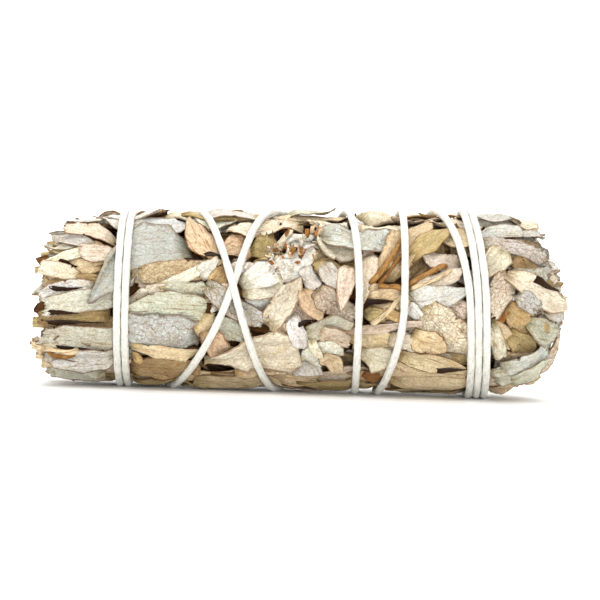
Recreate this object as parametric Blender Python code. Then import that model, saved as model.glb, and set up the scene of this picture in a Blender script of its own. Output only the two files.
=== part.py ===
"""Sage smudge stick: leafy stems of dried white sage, bound with one length of cotton string.

Frame: +X along the bundle, +Z up, origin under the middle of the bundle on the surface it lies on.
A place on the bundle is given by x, by an angle round it and by a distance from its axis. The angle is
0 at the front (-Y), 90 at the top (+Z), 180 at the back and -90 underneath. Lengths are in millimetres.
"""

import math

import bmesh
import bpy
import numpy as np

MM = 0.001

# Bundle
LENGTH = 105.0
HALF_LENGTH = LENGTH / 2
STRING_R_MIDDLE = 18.25
STRING_R_GROWTH = 0.0191
UNDERSIDE_FLAT = 0.55
LEAF_FLOOR = 0.30
AXIS_Y = 0.0

# Reach of the leaves: (x, distance from the axis)
LEAF_REACH = [
    (-52.5, 15.3), (-50.0, 15.8), (-48.0, 16.3), (-41.7, 16.9), (-36.0, 17.4), (-28.0, 17.7), (-20.0, 18.0),
    (-10.0, 18.0), (0.0, 17.9), (19.0, 17.8), (31.0, 18.0), (38.4, 17.7), (42.3, 16.9), (45.2, 15.8),
    (47.2, 14.2), (48.8, 12.0), (50.2, 8.8), (51.5, 5.0), (52.5, 3.2),
]

# Stems and leaves
MIDDLE_RADIUS = 6.3
STEM_GAP = 0.56
CHORD_ALLOWANCE = 0.12
CORE_DEPTH = 2.7
CORE_START = -50.0
CORE_END = 48.3
OUTER_LEAF_END = 50.4
STEM_RADIUS = 1.15
BLADE = 0.75
BLADE_REST = 0.3
BLADE_STATIONS = [0.0, 0.36, 0.72, 1.0]
BLADE_WIDTHS = [0.62, 1.0, 0.92]
BLADE_TIP_WIDTH = (0.15, 0.55)
BLADE_LIFTS = [-1.1, 0.1, 0.35, 0.7]
BLADE_ARCH = (0.4, 0.9)
CROWDED = 0.9
FLUTTER = 0.24
NARROW_LEAF = 3.0

# String
STRING_RADIUS = 0.82
STRING_SIDES = 6
STRING_POINTS_A_TURN = 16
STRING_CLEARANCE = 0.36
STRAND_PITCH = 1.75
STRAND_SINK = 0.45
GROOVE_WIDTH = 2.6
KNOT_RADIUS = 2.1
KNOT_ANGLE = 176.0
KNOT_X = -34.6
KNOT_SINK = 0.2
KNOT_CLEARANCE = 0.45
TAIL_RISE = 0.9
TAIL_RADIUS = 0.795
FLAT_SNAP = 0.05

FLAT_ENOUGH = 4.0
SEED = 7

# The string's route, from the knot round and round to the knot: (angle, x)
STRING_ROUTE = [
    (172, -34.9), (90, -35.8), (0, -35.5), (-90, -35.5), (-180, -28.2),
    (-270, -21.0), (-360, -12.6), (-450, -4.6), (-540, 1.5),
    (-630, 7.7), (-720, 10.3), (-810, 10.4), (-900, 14.3),
    (-990, 18.3), (-1080, 18.8), (-1170, 14.6), (-1260, 19.7),
    (-1350, 25.0), (-1440, 31.0), (-1530, 32.2), (-1620, 31.2),
    (-1710, 30.2), (-1800, 32.8), (-1890, 34.0), (-1980, 33.0),
    (-2070, 32.0), (-2160, 34.6), (-2250, 35.8), (-2340, 14.6),
    (-2430, -6.5), (-2520, -14.8), (-2610, -26.0), (-2700, -30.2),
    (-2790, -34.0), (-2880, -33.7), (-2970, -33.7), (-3060, -34.3),
]

# The two ends of the string past the knot: (angle, x)
STRING_TAILS = [
    [(180, -34.4), (168, -38.5), (158, -43.0), (152, -46.5)],
    [(176, -34.4), (188, -31.0), (199, -28.4), (208, -27.4)],
]

# Lines between neighbouring stems round the bundle: (mean angle, swing, length of a swing, shift in x)
STEM_LINES = [
    (-36, 7, 74, 12),
    (20, 12, 78, 12),
    (92, 8, 66, 5),
    (150, 8, 82, -20),
    (210, 8, 70, 30),
    (270, 6, 62, -8),
]
STEM_NAMES = [
    "leafy_stem_front", "leafy_stem_front_top", "leafy_stem_back_top",
    "leafy_stem_back", "leafy_stem_back_low", "leafy_stem_front_low",
]
LEAVES_ON_A_HIDDEN_STEM = 11
MIDDLE_LEAVES = 6

# Leaves that show at the front, those underneath first: (x and angle of the tucked end, x and angle of
# the free end, width)
FRONT_LEAVES = [
    (-38, -78, -50, -76, 6.0), (-34, -75, -18, -73, 8.0), (-19, -80, -1, -82, 8.0),
    (-1, -66, 15, -68, 8.0), (14, -82, 32, -80, 8.0), (34, -78, 46, -72, 8.0),
    (-36, -60, -50, -58, 5.5), (-21, -62, -3, -60, 6.5), (17, -58, 33, -60, 6.0),
    (36, -58, 47.5, -50, 7.0), (-33, -52, -19, -50, 7.0), (-35, -45, -52.5, -42, 6.5),
    (-36, -14, -52, -14, 4.5), (-37, -1, -51, -6, 5.0), (-38, 17, -52, 17, 4.6),
    (-38, 31, -51, 27, 4.0), (-36, 41, -50.5, 57, 5.0), (-32, 72, -47, 68, 6.0),
    (-38, 48, -52, 47, 4.0), (-20, 66, -33, 62, 7.0), (-21.5, 40, -40, 20, 10.5),
    (-36, -30, -52.2, -24, 7.5), (-33, 14, -17, 19, 5.0), (-16.5, 27, -22.5, 60, 6.5),
    (-17.5, -8, -33, -6, 7.0), (-20, -22, -33.5, -24, 7.5), (-33, -32, -19.5, -41, 3.0),
    (-8.5, 66, -19, 71, 7.0), (-10.5, 50, -16, 34, 6.5), (-1, 62, -15, 44, 4.6),
    (-17, -18, -10, -28, 5.0), (-18, -30, -12, -44, 5.0), (-13, 9, -7, -13, 3.6),
    (-1, -28, -20.5, -50, 8.0), (-6, -42, -0.5, -50, 5.0), (-6.5, -13, -1.5, 14, 4.2),
    (-11.5, 8, 2.5, 37, 9.0), (-3.5, 4, 1, -12, 5.0), (-3, -10, 1, -33, 3.2), (-1, 66, 8, 60, 6.0),
    (9, 70, 20, 64, 6.0), (18, 44, 8, 50, 6.0), (10.5, 47, 2, 38, 7.0), (12.5, 36, 10.5, -2, 4.8),
    (12.5, 2, 19, 10, 4.0), (0, -26, 9.5, -22, 6.0), (9, -29, 18.5, -24, 5.0), (7.5, -22, 21, -13, 2.8),
    (0.5, -44, 8, -33, 6.5), (11, -36, 18.5, -43, 6.0), (16, -28, 23, -28, 3.6),
    (21, -20, 27, -33, 5.0), (18, -38, 32, -46, 5.0), (26, 58, 19.5, 22, 6.0), (24, 64, 33, 56, 7.0),
    (31, 45, 24, 50, 5.0), (29.5, 28, 22, 31, 5.0), (19.5, 8, 29.5, 21, 3.6), (31, -10, 24, -1, 5.5),
    (19.5, 1, 31, 10, 4.5), (22, -6, 32.5, -31, 8.0), (33, 70, 45, 58, 8.0), (33, 46, 46.5, 38, 4.0),
    (38, 36, 34, 18, 4.6), (38.5, 2, 45, -18, 6.0), (39, 20, 34.5, -4, 5.5), (34, -14, 41, -29, 5.0),
    (39, -21, 46, -38, 5.0), (43, -12, 49.5, -30, 5.0), (36, -38, 46, -46, 5.0),
    (39.5, 24, 49, 29, 4.0), (38, 20, 50.4, -4, 7.5),
]


def reach(x):
    """Distance from the axis that the leaves reach between the turns of string."""
    table = np.array(LEAF_REACH)
    return np.interp(x, table[:, 0], table[:, 1])


def string_reach(x):
    """Outer distance of the string from the axis: it grows evenly with x."""
    return STRING_R_MIDDLE + STRING_R_GROWTH * x


def axis_height(x):
    """Height of the bundle's axis, which puts the flattened underside of the string at z = 0."""
    return string_reach(x) - UNDERSIDE_FLAT


def floor_distance(x, angle, height):
    """Distance from the axis, along an angle, at which the given height above the floor is reached."""
    down = np.maximum(-np.sin(np.radians(angle)), 0.05)
    return (axis_height(x) - height) / down


def place(x, angle, distance):
    """Point in metres from x, the angle round the axis and the distance from it."""
    turn = np.radians(angle)
    height = axis_height(x) + distance * np.sin(turn)
    depth = AXIS_Y - distance * np.cos(turn)
    return np.stack(np.broadcast_arrays(x, depth, height), axis=-1) * MM


def smooth_curve(knots, values, wanted):
    """Curve through the points (knots rising) whose slopes are harmonic means, so it never overshoots."""
    step = np.diff(knots)
    secant = np.diff(values) / step
    product = secant[:-1] * secant[1:]
    total = secant[:-1] + secant[1:]
    middle = np.where(product > 0, 2 * product / np.where(total == 0, 1, total), 0)
    slope = np.concatenate([secant[:1], middle, secant[-1:]])
    cell = np.clip(np.searchsorted(knots, wanted) - 1, 0, len(step) - 1)
    t = (wanted - knots[cell]) / step[cell]
    rise = step[cell]
    return (
        (2 * t**3 - 3 * t**2 + 1) * values[cell] + (t**3 - 2 * t**2 + t) * rise * slope[cell]
        + (3 * t**2 - 2 * t**3) * values[cell + 1] + (t**3 - t**2) * rise * slope[cell + 1]
    )


def string_bed(x, angle):
    """Distance from the axis of the string's centre where nothing lies under it but leaves."""
    half_height = STRING_RADIUS * math.cos(math.pi / STRING_SIDES)
    return np.minimum(string_reach(x) - STRING_RADIUS, floor_distance(x, angle, half_height))


def string_lift(x, angle):
    """Extra distance where strands cross: the one earlier in the route goes over, the later sinks a bit.

    Strands less than a pitch apart sideways are parted to a pitch, and the rise to it is a straight ramp.
    """
    girth = np.radians(angle) * STRING_R_MIDDLE
    apart_x = x[:, None] - x[None, :]
    apart_g = np.radians((angle[:, None] - angle[None, :] + 180) % 360 - 180) * STRING_R_MIDDLE
    apart = np.hypot(apart_x, apart_g)
    other_turn = np.abs(girth[:, None] - girth[None, :]) > STRING_R_MIDDLE
    near = np.where(other_turn, np.sqrt(np.maximum(STRAND_PITCH**2 - apart**2, 0)), 0)
    order = np.arange(len(x))
    over = np.where(order[None, :] > order[:, None], near, 0).max(axis=1) - STRAND_SINK
    under = np.where(order[None, :] < order[:, None], near, 0).max(axis=1)
    along = np.abs(girth[:, None] - girth[None, :])
    ramp = (over[None, :] - 0.42 * along).max(axis=1)
    dip = np.minimum(under, STRAND_SINK)
    dip = (dip[None, :] - 0.15 * along).max(axis=1)
    return np.maximum(ramp, 0) - np.where(ramp > 0, 0, np.maximum(dip, 0))


def string_path():
    """x, angle and distance of the points along the string, knot to knot."""
    route = np.array(STRING_ROUTE, dtype=float)
    turned = -route[:, 0]
    fine = np.arange(turned[0], turned[-1] + 0.1, 4.0)
    fine_x = smooth_curve(turned, route[:, 1], fine)
    distance = string_bed(fine_x, -fine) + string_lift(fine_x, -fine)
    step = 360 / STRING_POINTS_A_TURN
    inner = np.arange(math.ceil(turned[0] / step) * step + step / 2, turned[-1] - step / 2, step)
    wanted = np.concatenate([turned[:1], inner, turned[-1:]])
    return np.interp(wanted, fine, fine_x), -wanted, np.interp(wanted, fine, distance)


def tail_path(tail):
    """x, angle and distance of the points along one loose end of the string."""
    points = np.array(tail, dtype=float)
    t = np.linspace(0, len(points) - 1, 9)
    x = smooth_curve(np.arange(len(points)), points[:, 1], t)
    angle = smooth_curve(np.arange(len(points)), points[:, 0], t)
    return x, angle, string_reach(x) - STRING_RADIUS + TAIL_RISE * (1 - t / t[-1])


def grooves(x, angle):
    """How fully a place lies under the string: 1 on its centre line, falling to 0 beside it."""
    route = np.array(STRING_ROUTE, dtype=float)
    turned = np.arange(-route[0, 0], -route[-1, 0], 3.0)
    path_x = smooth_curve(-route[:, 0], route[:, 1], turned)
    near = np.full(np.broadcast(x, angle).shape, 99.0)
    for strand_x, strand_angle in zip(path_x, -turned):
        apart = np.radians((angle - strand_angle + 180) % 360 - 180) * STRING_R_MIDDLE
        near = np.minimum(near, np.hypot(x - strand_x, apart))
    return np.exp(-((near / GROOVE_WIDTH) ** 2))


def stem_line(index, x):
    """Angle of the line between two stems at x: a mean angle and a slow swing."""
    mean, swing, length, shift = STEM_LINES[index % 6]
    return mean + 360 * (index // 6) + swing * np.sin(2 * np.pi * (x - shift) / length)


def mesh_object(name, points, faces):
    """Object with a mesh of the given points and faces."""
    mesh = bpy.data.meshes.new(name)
    mesh.from_pydata([tuple(p) for p in points], [], [tuple(int(i) for i in f) for f in faces])
    mesh.validate()
    thing = bpy.data.objects.new(name, mesh)
    bpy.context.scene.collection.objects.link(thing)
    return thing


def slab(name, top, bottom):
    """Closed sheet between two grids of points, both split into triangles along the same diagonals."""
    rows, columns = top.shape[:2]
    number = np.arange(rows * columns).reshape(rows, columns)
    a = number[:-1, :-1].ravel()
    b = number[:-1, 1:].ravel()
    c = number[1:, 1:].ravel()
    d = number[1:, :-1].ravel()
    upper = np.concatenate([np.stack([a, b, c], 1), np.stack([a, c, d], 1)])
    lower = upper[:, ::-1] + rows * columns
    rim = np.concatenate([number[0, :-1], number[:-1, -1], number[-1, :0:-1], number[:0:-1, 0]])
    after = np.roll(rim, -1)
    wall_a = np.stack([after, rim, rim + rows * columns], 1)
    wall_b = np.stack([after, rim + rows * columns, after + rows * columns], 1)
    points = np.concatenate([top.reshape(-1, 3), bottom.reshape(-1, 3)])
    thing = mesh_object(name, points, np.concatenate([upper, lower, wall_a, wall_b]))
    face_outwards(thing.data)
    return thing


def tube(name, x, angle, distance, radius, sides):
    """Closed tube with one flat side facing away from the bundle's axis."""
    centre = place(x, angle, distance)
    along = np.gradient(centre, axis=0)
    along /= np.linalg.norm(along, axis=1, keepdims=True)
    outward = place(x, angle, distance + 1) - centre
    outward -= along * (outward * along).sum(axis=1, keepdims=True)
    outward /= np.linalg.norm(outward, axis=1, keepdims=True)
    side = np.cross(along, outward)
    turn = 2 * np.pi * (np.arange(sides) + 0.5) / sides
    ring = outward[:, None] * np.cos(turn)[:, None] + side[:, None] * np.sin(turn)[:, None]
    points = (centre[:, None] + ring * radius * MM).reshape(-1, 3)
    count = len(centre)
    number = np.arange(count * sides).reshape(count, sides)
    a = number[:-1]
    b = np.roll(number, -1, axis=1)[:-1]
    c = np.roll(number, -1, axis=1)[1:]
    d = number[1:]
    walls = np.concatenate([np.stack([a, b, c], -1).reshape(-1, 3), np.stack([a, c, d], -1).reshape(-1, 3)])
    faces = [list(f) for f in walls] + [list(number[0, ::-1]), list(number[-1])]
    thing = mesh_object(name, points, faces)
    face_outwards(thing.data)
    return thing


def face_outwards(mesh):
    """Turn every face of a closed mesh outwards."""
    bm = bmesh.new()
    bm.from_mesh(mesh)
    bmesh.ops.recalc_face_normals(bm, faces=bm.faces)
    if bm.calc_volume(signed=True) < 0:
        bmesh.ops.reverse_faces(bm, faces=bm.faces)
    bm.to_mesh(mesh)
    bm.free()


def ball(name, x, angle, distance, radius):
    """Slightly flattened lump at a place on the bundle."""
    bm = bmesh.new()
    bmesh.ops.create_icosphere(bm, subdivisions=1, radius=radius * MM)
    bmesh.ops.scale(bm, vec=(1.0, 0.8, 1.0), verts=bm.verts)
    bmesh.ops.translate(bm, vec=tuple(place(x, angle, distance)), verts=bm.verts)
    mesh = bpy.data.meshes.new(name)
    bm.to_mesh(mesh)
    bm.free()
    thing = bpy.data.objects.new(name, mesh)
    bpy.context.scene.collection.objects.link(thing)
    return thing


def combine(thing, others, operation):
    """Join others to a thing, or cut them from it, with one Boolean, applied; the others are removed."""
    group = bpy.data.collections.new("operands")
    bpy.context.scene.collection.children.link(group)
    for other in others:
        bpy.context.scene.collection.objects.unlink(other)
        group.objects.link(other)
    boolean = thing.modifiers.new("combine", "BOOLEAN")
    boolean.operation = operation
    boolean.operand_type = "COLLECTION"
    boolean.collection = group
    boolean.solver = "MANIFOLD"
    bpy.context.view_layer.update()
    result = bpy.data.meshes.new_from_object(thing.evaluated_get(bpy.context.evaluated_depsgraph_get()))
    thing.modifiers.remove(boolean)
    thing.data = result
    for other in others:
        bpy.data.objects.remove(other)
    bpy.data.collections.remove(group)


def keep_main_body(thing):
    """Merge points that coincide and drop every loose scrap and sealed pocket but the largest body."""
    bm = bmesh.new()
    bm.from_mesh(thing.data)
    bmesh.ops.triangulate(bm, faces=bm.faces)
    bmesh.ops.remove_doubles(bm, verts=bm.verts, dist=1e-6)
    bmesh.ops.dissolve_degenerate(bm, edges=bm.edges, dist=1e-6)
    waiting = set(bm.faces)
    bodies = []
    while waiting:
        body = set()
        front = [waiting.pop()]
        while front:
            face = front.pop()
            body.add(face)
            for edge in face.edges:
                for other in edge.link_faces:
                    if other in waiting:
                        waiting.remove(other)
                        front.append(other)
        bodies.append(body)
    bodies.sort(key=len)
    scraps = [face for body in bodies[:-1] for face in body]
    bmesh.ops.delete(bm, geom=scraps, context="FACES")
    bmesh.ops.dissolve_limit(bm, angle_limit=math.radians(FLAT_ENOUGH), verts=bm.verts, edges=bm.edges)
    bmesh.ops.triangulate(bm, faces=bm.faces)
    bm.to_mesh(thing.data)
    bm.free()


class LeafBed:
    """Heights of what has been laid so far, on a map of the bundle's surface unrolled."""

    STEP_X = 0.5
    STEP_ANGLE = 1.5

    def __init__(self):
        self.x = np.arange(-HALF_LENGTH - 1, HALF_LENGTH + 1.1, self.STEP_X)
        self.angle = np.arange(-180, 180, self.STEP_ANGLE)
        x, angle = np.meshgrid(self.x, self.angle, indexing="ij")
        bulge = np.minimum(reach(x), floor_distance(x, angle, LEAF_FLOOR))
        under_string = string_bed(x, angle) - STRING_RADIUS - STRING_CLEARANCE
        self.limit = bulge - np.maximum(bulge - under_string, 0) * grooves(x, angle)
        self.top = self.limit - CORE_DEPTH

    def cell(self, x, angle):
        """Row and column of the map at a place."""
        row = np.clip(np.rint((x - self.x[0]) / self.STEP_X).astype(int), 0, len(self.x) - 1)
        column = np.rint((angle + 180) / self.STEP_ANGLE).astype(int) % len(self.angle)
        return row, column

    def limit_at(self, x, angle):
        """Furthest that a leaf may reach at a place."""
        return self.limit[self.cell(x, angle)]

    def top_near(self, x, angle, around=1.4):
        """Highest of what lies at a place and just round it."""
        turn = np.degrees(around / STRING_R_MIDDLE)
        offsets = [(0, 0), (around, 0), (-around, 0), (0, turn), (0, -turn)]
        return np.max([self.top[self.cell(x + dx, angle + da)] for dx, da in offsets], axis=0)

    def lay(self, x, angle, distance):
        """Raise the map to the surface spanned by a leaf's grid of points."""
        rows = np.linspace(0, x.shape[0] - 1, 25)
        columns = np.linspace(0, x.shape[1] - 1, 13)
        fine = [blend_grid(values, rows, columns) for values in (x, angle, distance)]
        np.maximum.at(self.top, self.cell(fine[0], fine[1]), fine[2])


def blend_grid(values, rows, columns):
    """Values between a grid's points, blended straight both ways."""
    r = np.minimum(rows.astype(int), values.shape[0] - 2)
    c = np.minimum(columns.astype(int), values.shape[1] - 2)
    fr = (rows - r)[:, None]
    fc = (columns - c)[None, :]
    r = r[:, None]
    c = c[None, :]
    return (
        values[r, c] * (1 - fr) * (1 - fc) + values[r + 1, c] * fr * (1 - fc)
        + values[r, c + 1] * (1 - fr) * fc + values[r + 1, c + 1] * fr * fc
    )


def leaf_blade(bed, stem, entry, rng):
    """One leaf: a thin arched blade with a waved outline, laid over what is below it, free end up.

    Along it the half width grows from the tucked end to the middle and closes to a cut or pointed tip.
    """
    x0, angle0, x1, angle1, width = entry
    half = width / 2
    widths = np.array(BLADE_WIDTHS + [rng.uniform(*BLADE_TIP_WIDTH)]) * half
    t = np.array(BLADE_STATIONS)
    across = np.array([-1.0, 0.0, 1.0]) if width > NARROW_LEAF else np.array([-1.0, 1.0])
    girth = np.radians(angle1 - angle0) * STRING_R_MIDDLE
    run = math.hypot(x1 - x0, girth)
    bend = rng.uniform(-0.09, 0.09) * run * np.sin(np.pi * t)
    along = np.array([x1 - x0, girth]) / run
    sideways = np.array([-along[1], along[0]])
    waves = rng.uniform(0.85, 1.15, (len(t), len(across)))
    offset = bend[:, None] + widths[:, None] * across * waves
    skew = rng.uniform(-0.35, 0.35) * widths[-1] * across * (t[:, None] > 0.9)
    x = x0 + (x1 - x0) * t[:, None] + sideways[0] * offset + along[0] * skew
    angle = angle0 + (angle1 - angle0) * t[:, None]
    angle = angle + np.degrees((sideways[1] * offset + along[1] * skew) / STRING_R_MIDDLE)
    x = np.clip(x, -HALF_LENGTH, OUTER_LEAF_END)
    angle = shift_into(stem, x, angle, bed.limit_at(x, angle))
    camber = rng.choice([-0.8, 1]) * rng.uniform(*BLADE_ARCH)
    arch = camber * (1 - across**2) * min(1.0, width / 6)
    flutter = rng.uniform(-FLUTTER, FLUTTER, x.shape)
    lift = np.array(BLADE_LIFTS)[:, None]
    top = bed.top_near(x, angle) + BLADE_REST + BLADE + lift + arch + flutter
    top = pressed(top, bed.limit_at(x, angle))
    top = np.maximum(top, MIDDLE_RADIUS + STEM_GAP + BLADE)
    bed.lay(x, angle, top)
    return slab("leaf", place(x, angle, top), place(x, angle, top - BLADE))


def pressed(top, limit):
    """Heights pressed together under the limit: the nearer to it, the closer the leaves lie."""
    start = limit - CROWDED
    over = np.maximum(top - start, 0)
    return np.where(over > 0, limit - CROWDED * np.exp(-over / CROWDED), top)


def line_margin(distance):
    """Angle to keep from the line between two stems at a distance from the axis."""
    return np.degrees((STEM_GAP / 2 + CHORD_ALLOWANCE) / np.maximum(distance, MIDDLE_RADIUS))


def shift_into(stem, x, angle, distance):
    """Move each row of a blade's points round the bundle until it lies between its stem's two lines."""
    margin = line_margin(distance)
    low = stem_line(stem, x) + margin
    high = stem_line(stem + 1, x) - margin
    rows = []
    for i in range(len(x)):
        row = angle[i]
        lo, hi = low[i].max(), high[i].min()
        span = row.max() - row.min()
        if span > hi - lo:
            row = lo + (row - row.min()) * (hi - lo) / span
        row = row + max(lo - row.min(), 0) - max(row.max() - hi, 0)
        rows.append(row)
    return np.array(rows)


def stem_core(bed, index):
    """Inner mass of one leafy stem: a wedge of the bundle that its leaves stand out of."""
    x = np.concatenate([[CORE_START], np.arange(-40.0, 40.1, 10.0), [45.5, CORE_END]])[:, None]
    low = stem_line(index, x)
    high = stem_line(index + 1, x)
    share = np.linspace(0, 1, 4)[None, :]
    angle = low + (high - low) * share
    outer = np.maximum(bed.limit_at(x + 0 * angle, angle) - CORE_DEPTH, MIDDLE_RADIUS + STEM_GAP + 1.2)
    angle_out = np.clip(angle, low + line_margin(outer), high - line_margin(outer))
    inner = np.full(angle.shape, MIDDLE_RADIUS + STEM_GAP)
    angle_in = np.clip(angle, low + line_margin(inner), high - line_margin(inner))
    return slab("core", place(x, angle_out, outer), place(x, angle_in, inner))


def woody_stem(index):
    """Cut stem inside one leafy stem: it shows as a round end at the bundle's cut end."""
    x = np.array([-52.2, -30.0, 0.0, 25.0])
    middle = (stem_line(index, x) + stem_line(index + 1, x)) / 2
    distance = np.array([10.6, 11.0, 11.0, 10.6]) + 0.8 * math.sin(index * 2.4)
    return tube("stem", x, middle, distance, STEM_RADIUS, 6)


def hidden_leaves(index, rng):
    """Leaves of a stem that the front doesn't show: rows along the stem, each a little turned."""
    entries = []
    for k in range(LEAVES_ON_A_HIDDEN_STEM):
        share = (k + 0.5) / LEAVES_ON_A_HIDDEN_STEM
        x = -42 + 86 * ((share * 7.0) % 1.0) + rng.uniform(-4, 4)
        length = rng.uniform(12, 19)
        tip = x + length * (1 if x > -30 and rng.random() > 0.25 else -1)
        tip = min(max(tip, -51.5), 49.5)
        low, high = stem_line(index, x), stem_line(index + 1, x)
        angle = low + (high - low) * rng.uniform(0.12, 0.88)
        entries.append((x, angle, tip, angle + rng.uniform(-18, 18), rng.uniform(5.5, 8.5)))
    for share in (0.2, 0.5, 0.8):
        for x, tip in ((35.0, OUTER_LEAF_END), (-37.0, -rng.uniform(51.0, 52.4))):
            angle = stem_line(index, x) + (stem_line(index + 1, x) - stem_line(index, x)) * share
            entries.insert(0, (x, angle, tip, angle, 6.5))
    return entries


def front_stem_of(entry):
    """Which of the three front stems a listed leaf belongs to."""
    x = (entry[0] + entry[2]) / 2
    angle = (entry[1] + entry[3]) / 2
    if angle < stem_line(0, x):
        return -1
    return 0 if angle < stem_line(1, x) else 1


def string_cutters():
    """Tubes a little wider than the string, in short overlapping lengths, that clear its bed."""
    x, angle, distance = string_path()
    cutters = []
    size = STRING_POINTS_A_TURN // 2
    for k, start in enumerate(range(0, len(x) - 1, size)):
        part = slice(start, min(start + size + 2, len(x)))
        radius = STRING_RADIUS + STRING_CLEARANCE + 0.02 * (k % 2)
        cutters.append(tube("bed", x[part], angle[part], distance[part], radius, STRING_SIDES))
    for k, tail in enumerate(STRING_TAILS):
        radius = STRING_RADIUS + STRING_CLEARANCE + 0.015 * (k + 1)
        cutters.append(tube("bed", *tail_path(tail), radius, STRING_SIDES))
    knot_place = string_reach(KNOT_X) - KNOT_SINK
    cutters.append(ball("bed", KNOT_X, KNOT_ANGLE, knot_place, KNOT_RADIUS + KNOT_CLEARANCE))
    return cutters


def cotton_string():
    """The whole string: its turns, the knot and the two loose ends, joined in one body."""
    x, angle, distance = string_path()
    string = tube("cotton_string", x, angle, distance, STRING_RADIUS, STRING_SIDES)
    height = string_vertices(string)
    height[:, 2] = np.where(height[:, 2] < FLAT_SNAP * MM, 0, height[:, 2])
    string.data.vertices.foreach_set("co", height.ravel())
    tails = [tube("tail", *tail_path(tail), TAIL_RADIUS, STRING_SIDES) for tail in STRING_TAILS]
    knot = ball("knot", KNOT_X, KNOT_ANGLE, string_reach(KNOT_X) - KNOT_SINK, KNOT_RADIUS)
    combine(string, tails + [knot], "UNION")
    keep_main_body(string)
    return string


def string_vertices(thing):
    """Array of an object's points."""
    points = np.empty(len(thing.data.vertices) * 3)
    thing.data.vertices.foreach_get("co", points)
    return points.reshape(-1, 3)


def outer_stem(bed, index, entries, rng):
    """One leafy stem of the outside: core, woody stem and leaves fused, with the string's bed cleared."""
    thing = stem_core(bed, index)
    thing.name = STEM_NAMES[index]
    blades = [leaf_blade(bed, index, wrap_entry(entry, index), rng) for entry in entries]
    combine(thing, blades + [woody_stem(index)], "UNION")
    combine(thing, string_cutters(), "DIFFERENCE")
    keep_main_body(thing)
    return thing


def wrap_entry(entry, index):
    """Listed leaf with its angles brought into its stem's own turn."""
    if index != 5:
        return entry
    return (entry[0], entry[1] + 360, entry[2], entry[3] + 360, entry[4])


def middle_stem(rng):
    """Leafy stem in the middle: leaf ends at the cut end, a tuft of leaf tips at the other."""
    x = np.array([-50.2, -30.0, 0.0, 30.0, 47.0])
    turn = np.zeros(5)
    thing = tube("leafy_stem_middle", x, turn, np.zeros(5), 4.6, 8)
    blades = [tube("stem", np.array([-52.3, 20.0]), np.zeros(2), np.array([1.0, 1.0]), STEM_RADIUS + 0.2, 6)]
    for k in range(MIDDLE_LEAVES):
        angle = 360 / MIDDLE_LEAVES * k + rng.uniform(-8, 8)
        tip = HALF_LENGTH - (0 if k == 4 else rng.uniform(0.5, 2.0))
        blades.append(middle_leaf(angle, 34.0, tip, [4.5, 5.4, 4.6, 1.5], rng))
        blades.append(middle_leaf(angle + 30, -36.0, -rng.uniform(50.8, 52.2), [4.3, 5.3, 5.5, 4.8], rng))
    combine(thing, blades, "UNION")
    keep_main_body(thing)
    return thing


def middle_leaf(angle, x0, x1, distances, rng):
    """Narrow leaf along the middle stem, from inside it to its tip."""
    t = np.array([0.0, 0.4, 0.8, 1.0])[:, None]
    half = np.array([1.4, 2.0, 1.7, rng.uniform(0.5, 1.0)])[:, None]
    distance = np.array(distances)[:, None] + rng.uniform(-0.15, 0.15, (4, 3))
    across = np.array([-1.0, 0.0, 1.0])
    x = x0 + (x1 - x0) * t + 0 * across
    turn = angle + np.degrees(half * across / np.maximum(distance, 2.0))
    distance = np.minimum(distance + 0.3 * (1 - across**2), MIDDLE_RADIUS)
    return slab("leaf", place(x, turn, distance), place(x, turn, distance - BLADE))


def material(name, colour, roughness):
    """Plain dull surface."""
    made = bpy.data.materials.new(name)
    made.use_nodes = True
    shader = made.node_tree.nodes["Principled BSDF"]
    shader.inputs["Base Color"].default_value = (*colour, 1.0)
    shader.inputs["Roughness"].default_value = roughness
    shader.inputs["Metallic"].default_value = 0.0
    return made


def finish(thing, made):
    """Give a piece its material, and smooth shading between its sharp edges."""
    thing.data.materials.clear()
    thing.data.materials.append(made)
    thing.data.shade_smooth()
    thing.data.set_sharp_from_angle(angle=math.radians(35))


def build():
    """Make every piece."""
    for thing in list(bpy.data.objects):
        bpy.data.objects.remove(thing)
    rng = np.random.default_rng(SEED)
    bed = LeafBed()
    leaves = {index: [] for index in range(6)}
    for entry in FRONT_LEAVES:
        leaves[front_stem_of(entry) % 6].append(entry)
    for index in (2, 3, 4):
        leaves[index] = hidden_leaves(index, rng)
    tones = [(0.58, 0.53, 0.44), (0.55, 0.52, 0.45), (0.60, 0.52, 0.42), (0.53, 0.51, 0.43),
             (0.58, 0.50, 0.41), (0.56, 0.50, 0.42)]
    for index, tone in enumerate(tones):
        thing = outer_stem(bed, index, leaves[index], rng)
        finish(thing, material("dried sage " + STEM_NAMES[index], tone, 0.85))
    finish(middle_stem(rng), material("dried sage middle", (0.50, 0.45, 0.36), 0.85))
    finish(cotton_string(), material("white cotton", (0.90, 0.89, 0.84), 0.8))


build()
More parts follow.
